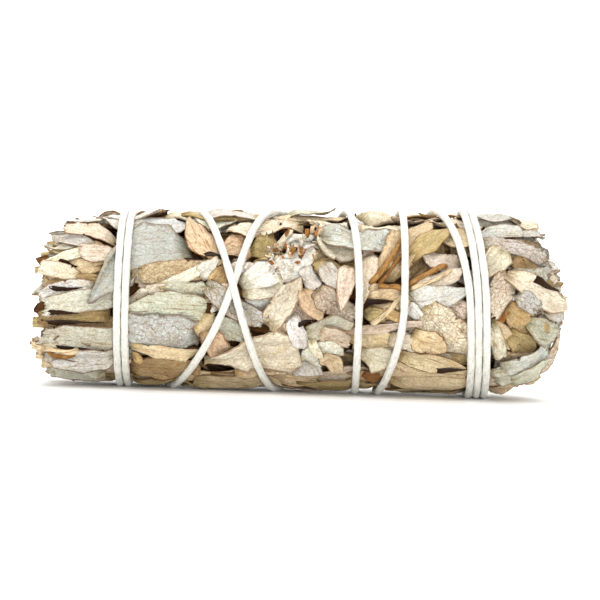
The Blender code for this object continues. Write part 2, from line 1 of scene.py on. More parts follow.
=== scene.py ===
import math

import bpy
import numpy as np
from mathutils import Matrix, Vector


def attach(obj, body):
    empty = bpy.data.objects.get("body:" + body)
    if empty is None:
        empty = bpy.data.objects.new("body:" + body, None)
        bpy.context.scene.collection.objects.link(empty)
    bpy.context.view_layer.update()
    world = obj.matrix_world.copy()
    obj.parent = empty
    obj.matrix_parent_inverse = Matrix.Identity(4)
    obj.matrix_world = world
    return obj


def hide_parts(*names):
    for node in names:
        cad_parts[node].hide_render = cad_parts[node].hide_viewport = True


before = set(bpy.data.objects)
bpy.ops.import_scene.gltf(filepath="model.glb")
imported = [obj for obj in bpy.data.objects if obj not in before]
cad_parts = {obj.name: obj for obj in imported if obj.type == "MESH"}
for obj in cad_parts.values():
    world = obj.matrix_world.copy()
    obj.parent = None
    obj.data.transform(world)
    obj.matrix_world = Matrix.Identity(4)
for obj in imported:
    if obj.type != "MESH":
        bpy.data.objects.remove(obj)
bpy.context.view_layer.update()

# Looks of a bundle of dried white sage bound with cotton string.
# A place on the bundle is a run along its outside, an angle round it and a height over the surface that the
# leaves reach. The run is x on the straight part and goes on over the rounded tip. The angle is 0 at the
# front (-Y), 90 at the top, 180 at the back and -90 underneath. Lengths are in millimetres until a point is
# made, and points are in metres.

MM = 0.001

# The view: a 600 by 600 picture in which a millimetre on the axis is 5.095 pixels
IMAGE_SIDE = 600
PIXELS_A_MM = 535 / 105
CAMERA_DISTANCE = 440.0
CAMERA_RISE = math.radians(2)
CAMERA_ROLL = math.radians(2.0)
VIEW_CENTRE = (-0.9, 0.0, 17.9)
SENSOR = 36.0

# Soft lights: name, place and aim in metres, side in metres, power in watts, colour
BUNDLE_MIDDLE = (0, 0, 0.018)
LIGHTS = [
    ("overhead", (-0.10, -0.20, 0.40), BUNDLE_MIDDLE, 0.10, 0.68, (1.0, 0.985, 0.96)),
    ("front left", (-0.32, -0.40, 0.14), BUNDLE_MIDDLE, 0.14, 0.36, (1.0, 0.99, 0.97)),
    ("low front", (0.12, -0.55, 0.06), BUNDLE_MIDDLE, 0.10, 0.99, (1.0, 0.99, 0.97)),
    ("back rim", (0.10, 0.30, 0.34), BUNDLE_MIDDLE, 0.24, 0.25, (0.98, 0.99, 1.0)),
    ("backdrop", (0, 0.45, 1.1), (0, 0.95, 0.15), 0.9, 14.0, (1, 1, 1)),
]

# The bundle, as the frame has it
STRING_R_MIDDLE = 18.25
STRING_R_GROWTH = 0.0191
UNDERSIDE_FLAT = 0.55
LEAF_FLOOR = 0.30
LEAF_REACH = [
    (-52.5, 15.3), (-50.0, 15.8), (-48.0, 16.3), (-41.7, 16.9), (-36.0, 17.4), (-28.0, 17.7), (-20.0, 18.0),
    (-10.0, 18.0), (0.0, 17.9), (19.0, 17.8), (31.0, 18.0), (38.4, 17.7), (42.3, 16.9), (45.2, 15.8),
    (47.2, 14.2), (48.8, 12.0), (50.2, 8.8), (51.3, 5.0), (51.9, 1.2),
]
STEM_LINES = [
    (-36, 7, 74, 12), (20, 12, 78, 12), (92, 8, 66, 5), (150, 8, 82, -20), (210, 8, 70, 30), (270, 6, 62, -8),
]
STEM_NAMES = [
    "leafy_stem_front", "leafy_stem_front_top", "leafy_stem_back_top",
    "leafy_stem_back", "leafy_stem_back_low", "leafy_stem_front_low",
]

# The string's route, from the knot round and round to the knot: (angle, x)
STRING_ROUTE = [
    (172, -34.9), (90, -35.65), (0, -35.4), (-90, -35.35), (-180, -28.2),
    (-270, -21.0), (-360, -12.6), (-450, -4.6), (-540, 1.5),
    (-630, 7.7), (-720, 10.3), (-810, 10.4), (-900, 14.3),
    (-990, 18.3), (-1080, 18.8), (-1170, 14.6), (-1260, 19.7),
    (-1350, 25.0), (-1440, 31.25), (-1530, 32.5), (-1620, 31.3),
    (-1710, 30.2), (-1800, 32.75), (-1890, 34.0), (-1980, 32.8),
    (-2070, 31.7), (-2160, 34.25), (-2250, 35.5), (-2340, 14.6),
    (-2430, -6.5), (-2520, -14.8), (-2610, -26.0), (-2700, -30.2),
    (-2790, -34.15), (-2880, -33.9), (-2970, -33.85), (-3060, -34.3),
]
STRING_TAILS = [
    [(180, -34.4), (168, -38.5), (158, -43.0), (152, -46.5)],
    [(176, -34.4), (188, -31.0), (199, -28.4), (208, -27.4)],
]
STRING_RADIUS = 0.71
STRING_DEPTH = 0.82
STRING_CLEARANCE = 0.05
STRAND_PITCH = 1.45
PLIES = 4
PLY_PITCH = 22.0
STRAND_SINK = 0.45
GROOVE_WIDTH = 1.25
KNOT_X = -34.6
KNOT_ANGLE = 176.0

# Colours of dried sage, as sRGB. The umber is brown leaf darkened for the shade those leaves lie in, partly
# painted shade.
TONES = {
    "sage": (203, 204, 195), "grey": (179, 180, 170), "white": (224, 222, 214), "cream": (222, 214, 190),
    "tan": (208, 188, 152), "peach": (217, 189, 156), "ochre": (197, 170, 121), "olive": (176, 157, 110),
    "pink": (214, 199, 179), "lilac": (205, 201, 191), "green": (203, 202, 183), "brown": (134, 92, 46),
    # The deep brown is the under layer's leaf colour, darkened further as painted shade.
    "orange": (176, 120, 60), "stem": (156, 114, 62), "deep": (122, 82, 34), "umber": (156, 132, 92),
    # Painted shadow: near black, for the slivers that stand in for the shade between leaves.
    "dark": (48, 29, 12),
}

# Outlines of leaves: share of the length and half width there as a share of the widest
OUTLINES = {
    "lance": [(0, 0.45), (0.2, 0.8), (0.45, 1), (0.7, 0.86), (0.9, 0.45), (1, 0.06)],
    "round": [(0, 0.5), (0.22, 0.86), (0.5, 1), (0.8, 0.92), (0.94, 0.62), (1, 0.2)],
    "point": [(0, 0.6), (0.2, 1), (0.5, 0.86), (0.8, 0.42), (1, 0.03)],
    "cut": [(0, 0.6), (0.3, 1), (0.7, 0.96), (0.94, 0.9), (1, 0.74)],
    "fan": [(0, 0.55), (0.25, 0.74), (0.55, 0.92), (0.85, 1), (1, 0.92)],
    "spoon": [(0, 0.2), (0.25, 0.5), (0.6, 0.92), (0.85, 1), (1, 0.8)],
    "strip": [(0, 0.85), (0.3, 1), (0.7, 0.9), (0.92, 0.8), (1, 0.5)],
}

# Kinds of leaf. arch tips both margins up, fold creases along the rib, edges wind the left and the right
# margin up beyond edge_from of the half width, ridges makes lengthwise waves, tip bends the free end up beyond
# tip_from of the length, slant sets the free end askew, lift raises it, net is how much of the vein net shows,
# age is how browned the leaf is, crease is how sharply it is crumpled, thick is its thickness. The thin near
# black sliver laid deep between other leaves is painted shade: a sheet put where there is only shadow.
KINDS = {
    "broad": dict(outline="lance", arch=0.25, edges=(0.35, 0.35), crease=0.14),
    "pointed": dict(outline="point", arch=0.2, edges=(0.2, 0.2), crease=0.08),
    "torn": dict(outline="cut", arch=0.25, edges=(0.4, 0.4), crease=0.16),
    "folded": dict(outline="lance", arch=0.1, fold=0.42, edges=(0.2, 0.2), crease=0.10),
    "netted": dict(outline="cut", arch=-0.1, edges=(0.2, 0.3), crease=0.10, net=1.0),
    "net_fold": dict(outline="cut", arch=0.0, fold=-0.35, edges=(0.2, 0.2), crease=0.12, net=0.8),
    "rolled": dict(outline="strip", arch=-0.2, edges=(-1.9, -1.9), edge_from=0.25, crease=0.05, lift=0.4),
    "tube": dict(outline="strip", arch=-0.1, edges=(-2.9, -2.9), edge_from=0.1, crease=0.04, lift=0.2),
    "net_tube": dict(outline="strip", arch=-0.2, edges=(-2.6, -2.6), edge_from=0.1, crease=0.04, net=0.9,
                     lift=0.1),
    "boat": dict(outline="cut", arch=0.95, edges=(0.5, 0.5), crease=0.05, lift=0.2),
    "oblong": dict(age=0.12, outline="round", arch=-0.35, edges=(-0.6, -0.6), edge_from=0.75, crease=0.03,
                   thick=0.6),
    "strip": dict(outline="strip", arch=-0.3, edges=(0, 0), crease=0.06, lift=0.3),
    "cup": dict(outline="round", arch=0.8, edges=(0.4, 0.4), crease=0.03, lift=0.9),
    "ridged": dict(outline="lance", arch=-0.1, edges=(0.3, 0.3), crease=0.12, ridges=0.3),
    "smooth": dict(age=0.12, outline="round", arch=-0.15, edges=(1.1, 0.1), edge_from=0.78, crease=0.06,
                   thick=0.5),
    "edged": dict(age=0.12, outline="cut", arch=0.05, edges=(2.6, 0.3), edge_from=0.80, crease=0.08,
                  lift=0.5),
    "hero": dict(age=0.12, outline="fan", arch=0.02, edges=(0.1, 0.3), crease=0.07, tip=3.8, tip_from=0.88,
                 lift=0.0, slant=0.64),
    "ruffled": dict(age=0.25, outline="spoon", arch=0.1, edges=(0.5, 0.5), crease=0.16, ridges=0.2),
    "flat": dict(age=0.15, outline="cut", arch=0.1, edges=(0.3, 0.3), crease=0.10, lift=0.0),
    # Painted shade: a thin near black sheet laid deep between leaves where there is only shadow.
    "gap": dict(outline="point", arch=0.5, edges=(0, 0), crease=0.02, thick=0.12, lift=0.0),
    "crumb": dict(outline="cut", arch=0.6, edges=(0.6, 0.6), crease=0.3, thick=0.2, lift=0.3),
}

# Leaves seen at the front, those underneath first: x and angle of the tucked end, x and angle of the free
# end, width seen, kind, colour
# The thin near black slivers in these lists are painted shade between the leaves.
LEFT_LEAVES = [
    (-37, -74, -49, -72, 6.5, "broad", "tan"), (-38, -62, -49.5, -63, 5.5, "torn", "green"),
    (-46, -56, -52.3, -58, 1.8, "tube", "tan"), (-34, 80, -46, 74, 7.0, "broad", "sage"),
    (-33, -15, -50.6, -16, 4.4, "broad", "umber"), (-38, 32, -50, 24, 5.0, "torn", "tan"),
    (-38, 40, -50, 43, 5.0, "broad", "tan"), (-37, -10, -50.8, -11, 2.8, "tube", "umber"),
    (-44, 45, -50.6, 48, 3.6, "torn", "green"), (-41, 43, -49.8, 60, 4.2, "folded", "lilac"),
    (-36.5, 52, -46.8, 62, 4.8, "torn", "pink"), (-34, 74, -42, 71, 5.2, "pointed", "white"),
    (-39, 25, -50.2, 17, 4.2, "boat", "tan"), (-37, 13, -49.4, 12, 3.6, "broad", "umber"),
    (-40, 10, -50.6, 3, 3.6, "boat", "white"), (-42, 38, -50.8, 30, 2.4, "rolled", "cream"),
    (-40, 38, -50.6, 24, 2.0, "rolled", "cream"), (-36.5, 35, -43, 33, 4.2, "torn", "pink"),
    (-47.5, 27, -43.5, 25, 1.872, "gap", "dark"), (-43, 17, -50.6, 25, 3.4, "boat", "cream"),
    (-49.0, 9, -42, 9, 1.0, "gap", "dark"), (-34, 2, -49.2, -5, 4.8, "torn", "green"),
    (-31.0, -26, -50.2, -28, 6.6, "torn", "green"), (-49.6, -8, -42.5, -8, 1.1, "gap", "dark"),
    (-50, -17, -38, -16, 1.2, "gap", "dark"), (-46, -36, -52.4, -37, 2.2, "strip", "cream"),
    (-49, -35, -33, -36, 1.152, "gap", "dark"), (-35, -39, -50, -49, 6.8, "folded", "lilac"),
    (-20, 70, -35, 64, 7.6, "edged", "sage"), (-22.0, 40, -39.6, 27, 15.8, "hero", "grey"),
]
LEFT_MIDDLE_LEAVES = [
    (-33, -75, -18, -73, 8.0, "broad", "olive"), (-19, -81, -1, -82, 8.0, "broad", "tan"),
    (-21, -65, -3, -63, 7.0, "broad", "tan"), (-33.5, -51, -19.5, -50, 7.6, "broad", "umber"),
    (-33.5, -22, -29.5, -24, 3.0, "strip", "tan"), (-33, -40, -30.5, -42, 1.8, "torn", "ochre"),
    (-33, 17, -16.5, 22, 5.0, "netted", "tan"), (-35, -7, -26.5, 11, 4.0, "folded", "cream"),
    (-27.6, 9, -16.8, 29, 2.6, "tube", "cream"), (-27, 8, -18.6, 9, 3.8, "rolled", "green"),
    (-16.6, 29, -22.5, 63, 7.2, "broad", "peach"), (-16.5, -6, -33.6, -4, 7.8, "broad", "green"),
    (-19, -23, -33.6, -20, 9.0, "net_fold", "sage"), (-33, -32, -19.3, -40, 2.8, "rolled", "tan"),
    (-8.0, 69, -20, 66, 8.0, "edged", "lilac"), (-10, 48, -16, 35, 6.2, "broad", "peach"),
    (-1, 65, -15.4, 50, 6.2, "folded", "cream"), (-20, 17, -16.5, 27, 4.0, "pointed", "lilac"),
    (-17.5, 9, -14.3, 26, 3.6, "strip", "ochre"), (-19, 5, -14.3, 8, 4.0, "torn", "pink"),
    (-17.5, -2, -14, -10, 3.4, "oblong", "white"), (-14, 30, -11.5, 31, 2.2, "torn", "pink"),
    (-20, -12, -14, -26, 6.0, "flat", "tan"), (-17.5, -13, -10, -26, 6.2, "broad", "green"),
    (-19, -24, -17, -29, 2.6, "torn", "lilac"), (-20, 31, -12, 33, 1.44, "gap", "dark"),
    (-17.5, -8, -10.5, -7, 1.296, "gap", "dark"), (-18.5, -19, -13.5, -45, 5.4, "torn", "peach"),
    (-11, 7, -5, -9, 5.0, "broad", "sage"), (-6.5, -9, -3.5, -21, 3.2, "torn", "ochre"),
    (-2, -12, -4.8, -23, 3.0, "oblong", "peach"), (-4, -41, 4, -50, 5.4, "broad", "lilac"),
    (-13, -49, -1.5, -45, 5.5, "flat", "tan"), (-19, -45, -0.8, -33, 10.4, "ruffled", "cream"),
    (-3.5, 8, 1, -12, 5.2, "netted", "pink"), (-2.6, -7, 0.9, -33, 3.4, "strip", "white"),
    (-14.5, 25, -7, 23, 3.4, "oblong", "white"), (-12, 8, -4.2, 13, 5.4, "cup", "cream"),
    (-12.2, 12, 1.8, 39, 6.6, "smooth", "white"), (-19, 12, -7.6, -13, 4.3, "netted", "lilac"),
    (-7.0, -16, -0.8, 18, 5.6, "broad", "cream"), (-10.4, 31, -6.5, 33, 2.6, "torn", "olive"),
    (-11.0, 41, -4.2, 43, 5.0, "flat", "olive"), (-4, 45, 4, 50, 5.5, "flat", "white"),
    (-5.5, 45, 1.5, 52, 2.0, "rolled", "white"), (-6.2, 41, -3.0, 51, 1.7, "rolled", "cream"),
]
RIGHT_MIDDLE_LEAVES = [
    (-1, -68, 15, -67, 8.0, "broad", "olive"), (14, -83, 32, -81, 8.0, "broad", "tan"),
    (17, -59, 33, -59, 7.0, "broad", "tan"), (11.5, -51, 15.5, -58, 3.4, "torn", "brown"),
    (-1, 69, 8, 62, 6.4, "broad", "cream"), (8, 74, 12.5, 68, 5.0, "pointed", "white"),
    (11, 66, 17, 58, 4.2, "oblong", "cream"), (13.5, 62, 18.4, 68, 4.2, "oblong", "cream"),
    (1.6, 39, 4.4, 27, 3.4, "torn", "tan"), (-0.6, 27, 2.2, 11, 3.6, "oblong", "lilac"),
    (1.8, 33, 7.5, 18, 4.6, "torn", "olive"), (3, 27, 6.8, 11, 4.6, "broad", "lilac"),
    (-0.5, 11, 3.2, -11, 4.6, "broad", "peach"), (2.0, 10, 9.6, -11, 5.8, "netted", "pink"),
    (8.6, 28, 7.0, -4, 4.6, "pointed", "pink"), (9, 34, 12.6, 45, 3.8, "folded", "pink"),
    (12.2, 37, 15.8, 30, 3.8, "torn", "green"), (11.5, 38, 10.6, -2, 4.5, "pointed", "pink"),
    (10.2, 48, 2.0, 40, 8.4, "smooth", "cream"), (9, 66, 19, 60, 5.5, "flat", "cream"),
    (2.0, 52, 18.4, 47, 7.2, "broad", "sage"), (14.6, 19, 24.0, 68, 8.6, "ridged", "tan"),
    (19.5, 32, 27.5, 58, 5.0, "folded", "olive"), (21, 84, 33, 80, 6.5, "broad", "tan"),
    (22, 70, 34, 72, 6.0, "folded", "cream"), (-1.5, -14, 2.5, -12, 1.2, "gap", "dark"),
    (11.9, 7, 18.2, 14, 4.2, "pointed", "tan"), (12, 3, 19, 6, 5.0, "flat", "tan"),
    (11.0, 1, 17.5, 3, 1.2, "gap", "dark"), (11.2, -7, 15.2, -6, 3.4, "torn", "olive"),
    (15.3, -3, 18.2, -8, 2.4, "torn", "ochre"), (9.5, -31, 28.5, -38, 6.5, "broad", "cream"),
    (13, -50, 32, -48, 4.5, "strip", "tan"), (0.4, -22, 9.4, -12, 5.8, "broad", "green"),
    (3, -20, 9, -27, 4.2, "torn", "pink"), (8.5, -26, 18.4, -23, 4.8, "broad", "tan"),
    (16.2, -23, 22.6, -28, 3.7, "tube", "cream"), (20.6, -19, 27.2, -30, 5.8, "broad", "tan"),
    (10.6, -34, 18.2, -41, 6.8, "broad", "cream"), (18.4, -36, 31.8, -47, 4.8, "broad", "tan"),
    (25, -45, 32, -44, 1.4, "gap", "dark"), (0.6, -45, 7.2, -27, 6.6, "oblong", "green"),
    (3.5, -35, 7.6, -49, 4.2, "ridged", "tan"), (1.6, -25, 3.2, -37, 1.9, "rolled", "cream"),
    (7.6, -20, 22.5, -11, 2.0, "strip", "pink"),
]
RIGHT_LEAVES = [
    (34, -78, 46.5, -70, 8.0, "broad", "tan"), (39, 36, 45.5, 29, 5.0, "broad", "umber"),
    (43.5, 18, 50.4, 8, 4.6, "broad", "lilac"), (43, 4, 50.6, -5, 5.0, "torn", "cream"),
    (24.5, 63, 31.5, 42, 7.2, "broad", "tan"), (29.6, 30, 22.2, 34, 5.2, "oblong", "pink"),
    (19.5, 10, 29.6, 24, 3.6, "tube", "pink"), (24, -41, 32, -43, 4.2, "tube", "ochre"),
    (31.5, -7, 23.8, 1, 6.4, "netted", "pink"), (19.4, 2, 32.2, 13, 6.0, "pointed", "sage"),
    (19.2, 2, 21.9, -8, 2.8, "oblong", "white"), (22, -2, 32.8, -31, 9.2, "netted", "cream"),
    (33.5, 73, 45.8, 59, 8.2, "broad", "lilac"), (33, 44, 38.6, 38, 3.2, "strip", "tan"),
    (31.5, 63, 41, 57, 4.8, "torn", "lilac"), (33, 47, 46.4, 39, 3.8, "net_tube", "lilac"),
    (37.6, 40, 33.4, 18, 5.8, "pointed", "cream"), (39.8, 24, 48.4, 30, 3.6, "net_tube", "green"),
    (40, 11, 37, -9, 3.6, "broad", "lilac"), (35.2, 4, 38.2, -7, 3.2, "torn", "orange"),
    (39.2, 24, 34.8, -2, 6.0, "netted", "pink"), (38.5, 1, 45.2, -18, 6.4, "broad", "ochre"),
    (35.0, -9, 40.4, -28, 5.0, "broad", "tan"), (39, -17, 45.6, -37, 5.8, "broad", "olive"),
    (36.8, -36, 45.2, -45, 4.0, "strip", "tan"), (36, -55, 48.2, -43, 7.4, "broad", "green"),
    (38, -46, 49.0, -38, 6.0, "torn", "sage"), (40, -58, 48.0, -55, 6.5, "torn", "green"),
    (42.8, -10, 50.0, -30, 5.8, "folded", "green"), (47.6, -3, 51.4, -17, 3.8, "oblong", "lilac"),
    (38.2, 23, 50.2, -1, 5.8, "folded", "cream"), (43.0, 21, 49.2, 15, 1.6, "gap", "dark"),
    (40.6, 9, 44, -1, 4.0, "netted", "sage"), (35.2, -11, 37.8, -37, 3.2, "rolled", "cream"),
]

TOP_LEAVES = [
    (-21, 80, -7.5, 79, 7.0, "flat", "lilac"),
]

# Bare stems seen at the front: (x, angle) along each, radius, colour
FRONT_STEMS = [
    ([(12.4, 15), (15.0, 25), (17.0, 38), (18.2, 52)], 0.55, "stem"),
    ([(14.0, 15), (16.4, 26), (18.6, 37)], 0.48, "brown"),
    ([(14.0, 13), (16.2, 13), (18.6, 11)], 0.50, "stem"),
    ([(13.0, -12), (15.6, -4), (18.6, 7)], 0.50, "tan"),
    ([(19.6, 14), (22.6, 20), (26.4, 27)], 0.50, "stem"),
    ([(20.2, 11), (24.0, 16), (27.5, 23)], 0.42, "tan"),
    ([(-44.0, -42), (-48.5, -41), (-52.4, -40)], 0.66, "brown"),
    ([(-43.0, -36), (-47.5, -36), (-51.6, -35)], 0.52, "tan"),
]
BUD_PLACES = [
    (-6.9, 26), (-6.0, 32), (-5.0, 38), (-4.4, 29), (-3.6, 34), (-3.0, 40), (-2.4, 27), (-1.9, 32),
    (-5.6, 23), (-1.4, 37), (-4.0, 43), (-6.6, 39), (0.6, 52), (1.6, 58), (2.4, 50), (-0.4, 46),
]

# Seeds of the draws, and how many of each are drawn
SEED = 11
CORE_SEED = 3
YARN_SEED = 4
FUZZ_SEED = 16
DEEP_LEAVES = 150
SHADED_LEAVES = 90
HIDDEN_LEAVES = 170
CRUMBS = 26
CUT_LEAVES = 240
TIP_LEAVES = 110
CUT_STEMS = 16
BUD_ROUNDS = 3
FIBRES = 900

# Thickness of a leaf, the distance from the axis that the inner leaves fill, and the angle from one to the next
LEAF_THICK = 0.36
INNER_REACH = 13.2
TURN_TO_NEXT = 137.5


# The camera, the lights and the floor

def set_view():
    """Camera on the front side, a little above the horizon, turned about its own axis by the picture's tilt."""
    distance = CAMERA_DISTANCE * MM
    aim = Vector(VIEW_CENTRE) * MM
    towards = Vector((0.0, -math.cos(CAMERA_RISE), math.sin(CAMERA_RISE)))
    data = bpy.data.cameras.new("camera")
    data.sensor_width = SENSOR
    data.lens = SENSOR * CAMERA_DISTANCE / (IMAGE_SIDE / PIXELS_A_MM)
    data.clip_start = 0.01
    camera = bpy.data.objects.new("camera", data)
    bpy.context.scene.collection.objects.link(camera)
    turn = towards.to_track_quat("Z", "Y").to_matrix() @ Matrix.Rotation(CAMERA_ROLL, 3, "Z")
    camera.matrix_world = Matrix.Translation(aim + towards * distance) @ turn.to_4x4()
    bpy.context.scene.camera = camera


def soft_light(name, place, aim, size, power, colour):
    """Square area light at a place, facing a point."""
    data = bpy.data.lights.new(name, "AREA")
    data.size = size
    data.energy = power
    data.color = colour
    light = bpy.data.objects.new(name, data)
    bpy.context.scene.collection.objects.link(light)
    light.location = place
    light.rotation_euler = (Vector(place) - Vector(aim)).to_track_quat("Z", "Y").to_euler()


def set_light():
    """White surroundings and the soft lights."""
    world = bpy.data.worlds.new("studio")
    world.use_nodes = True
    world.node_tree.nodes["Background"].inputs["Color"].default_value = (1, 1, 1, 1)
    world.node_tree.nodes["Background"].inputs["Strength"].default_value = 1.00
    bpy.context.scene.world = world
    bpy.context.scene.view_settings.view_transform = "Standard"
    for light in LIGHTS:
        soft_light(*light)


# Shader values

class Value:
    """One output of a shader node; arithmetic on it adds Math nodes."""

    def __init__(self, tree, socket):
        self.tree = tree
        self.socket = socket

    def math(self, operation, a, b):
        return node(self.tree, "ShaderNodeMath", {"operation": operation}, [a, b])[0]

    def __add__(self, other):
        return self.math("ADD", self, other)

    def __radd__(self, other):
        return self.math("ADD", other, self)

    def __sub__(self, other):
        return self.math("SUBTRACT", self, other)

    def __rsub__(self, other):
        return self.math("SUBTRACT", other, self)

    def __mul__(self, other):
        return self.math("MULTIPLY", self, other)

    def __rmul__(self, other):
        return self.math("MULTIPLY", other, self)

    def __pow__(self, other):
        return self.math("POWER", self, other)

    def __rpow__(self, other):
        return self.math("POWER", other, self)

    def size(self):
        return self.math("ABSOLUTE", self, 0.0)

    def part(self):
        return self.math("FRACT", self, 0.0)


def node(tree, kind, settings=None, inputs=None):
    """Any shader node: its settings first, then the values or links of its sockets. Gives its outputs."""
    made = tree.nodes.new(kind)
    for name, value in (settings or {}).items():
        setattr(made, name, value)
    pairs = inputs.items() if isinstance(inputs, dict) else enumerate(inputs or [])
    for name, value in pairs:
        if isinstance(value, Value):
            tree.links.new(value.socket, made.inputs[name])
        else:
            made.inputs[name].default_value = value
    return [Value(tree, socket) for socket in made.outputs]


def blend(tree, factor, first, second, way="MIX"):
    """Colour between two colours."""
    settings = {"data_type": "RGBA", "blend_type": way}
    return node(tree, "ShaderNodeMix", settings, {0: factor, 6: first, 7: second})[2]


def step(tree, value, low, high):
    """0 below low, 1 above high, a smooth rise between."""
    settings = {"interpolation_type": "SMOOTHSTEP"}
    return node(tree, "ShaderNodeMapRange", settings, [value, low, high, 0.0, 1.0])[0]


def noise(tree, where, scale, detail=2.0, roughness=0.5):
    """Cloudy value about 0.5."""
    inputs = {"Vector": where, "Scale": scale, "Detail": detail, "Roughness": roughness}
    return node(tree, "ShaderNodeTexNoise", None, inputs)[0]


def stretch(tree, where, factors):
    """A place with each coordinate multiplied by its factor."""
    return node(tree, "ShaderNodeVectorMath", {"operation": "MULTIPLY"}, [where, factors])[0]


def moved(tree, where, by):
    """A place with another added to it."""
    return node(tree, "ShaderNodeVectorMath", {"operation": "ADD"}, [where, by])[0]


def net_distance(tree, where, scale):
    """Distance to the edges of a net of cells."""
    settings = {"feature": "DISTANCE_TO_EDGE"}
    return node(tree, "ShaderNodeTexVoronoi", settings, {"Vector": where, "Scale": scale})[0]


def own_value(tree, name):
    """What each point of a mesh holds under a name."""
    return node(tree, "ShaderNodeAttribute", {"attribute_name": name})[0]


def leaf_uv(tree):
    """A mesh's own flat coordinates."""
    return node(tree, "ShaderNodeUVMap", {"uv_map": "leaf"})[0]


def rgb(red, green, blue):
    """Linear colour with alpha from sRGB numbers of 0 to 255."""
    share = np.array([red, green, blue]) / 255
    linear = np.where(share <= 0.04045, share / 12.92, ((share + 0.055) / 1.055) ** 2.4)
    return (*[float(v) for v in linear], 1.0)


def empty_material(name, roughness, sheen):
    """Material with only its Principled BSDF; gives the material, its tree and the shader."""
    made = bpy.data.materials.new(name)
    made.use_nodes = True
    tree = made.node_tree
    shader = tree.nodes["Principled BSDF"]
    shader.inputs["Roughness"].default_value = roughness
    shader.inputs["Specular IOR Level"].default_value = 0.12
    shader.inputs["Sheen Weight"].default_value = sheen
    shader.inputs["Sheen Roughness"].default_value = 0.5
    return made, tree, shader


def finish(tree, shader, colour, height, strength, depth):
    """Link a colour, and a height as a bump of a strength and a depth in mm."""
    tree.links.new(colour.socket, shader.inputs["Base Color"])
    inputs = {"Strength": strength, "Distance": depth * MM, "Height": height}
    tree.links.new(node(tree, "ShaderNodeBump", None, inputs)[0].socket, shader.inputs["Normal"])


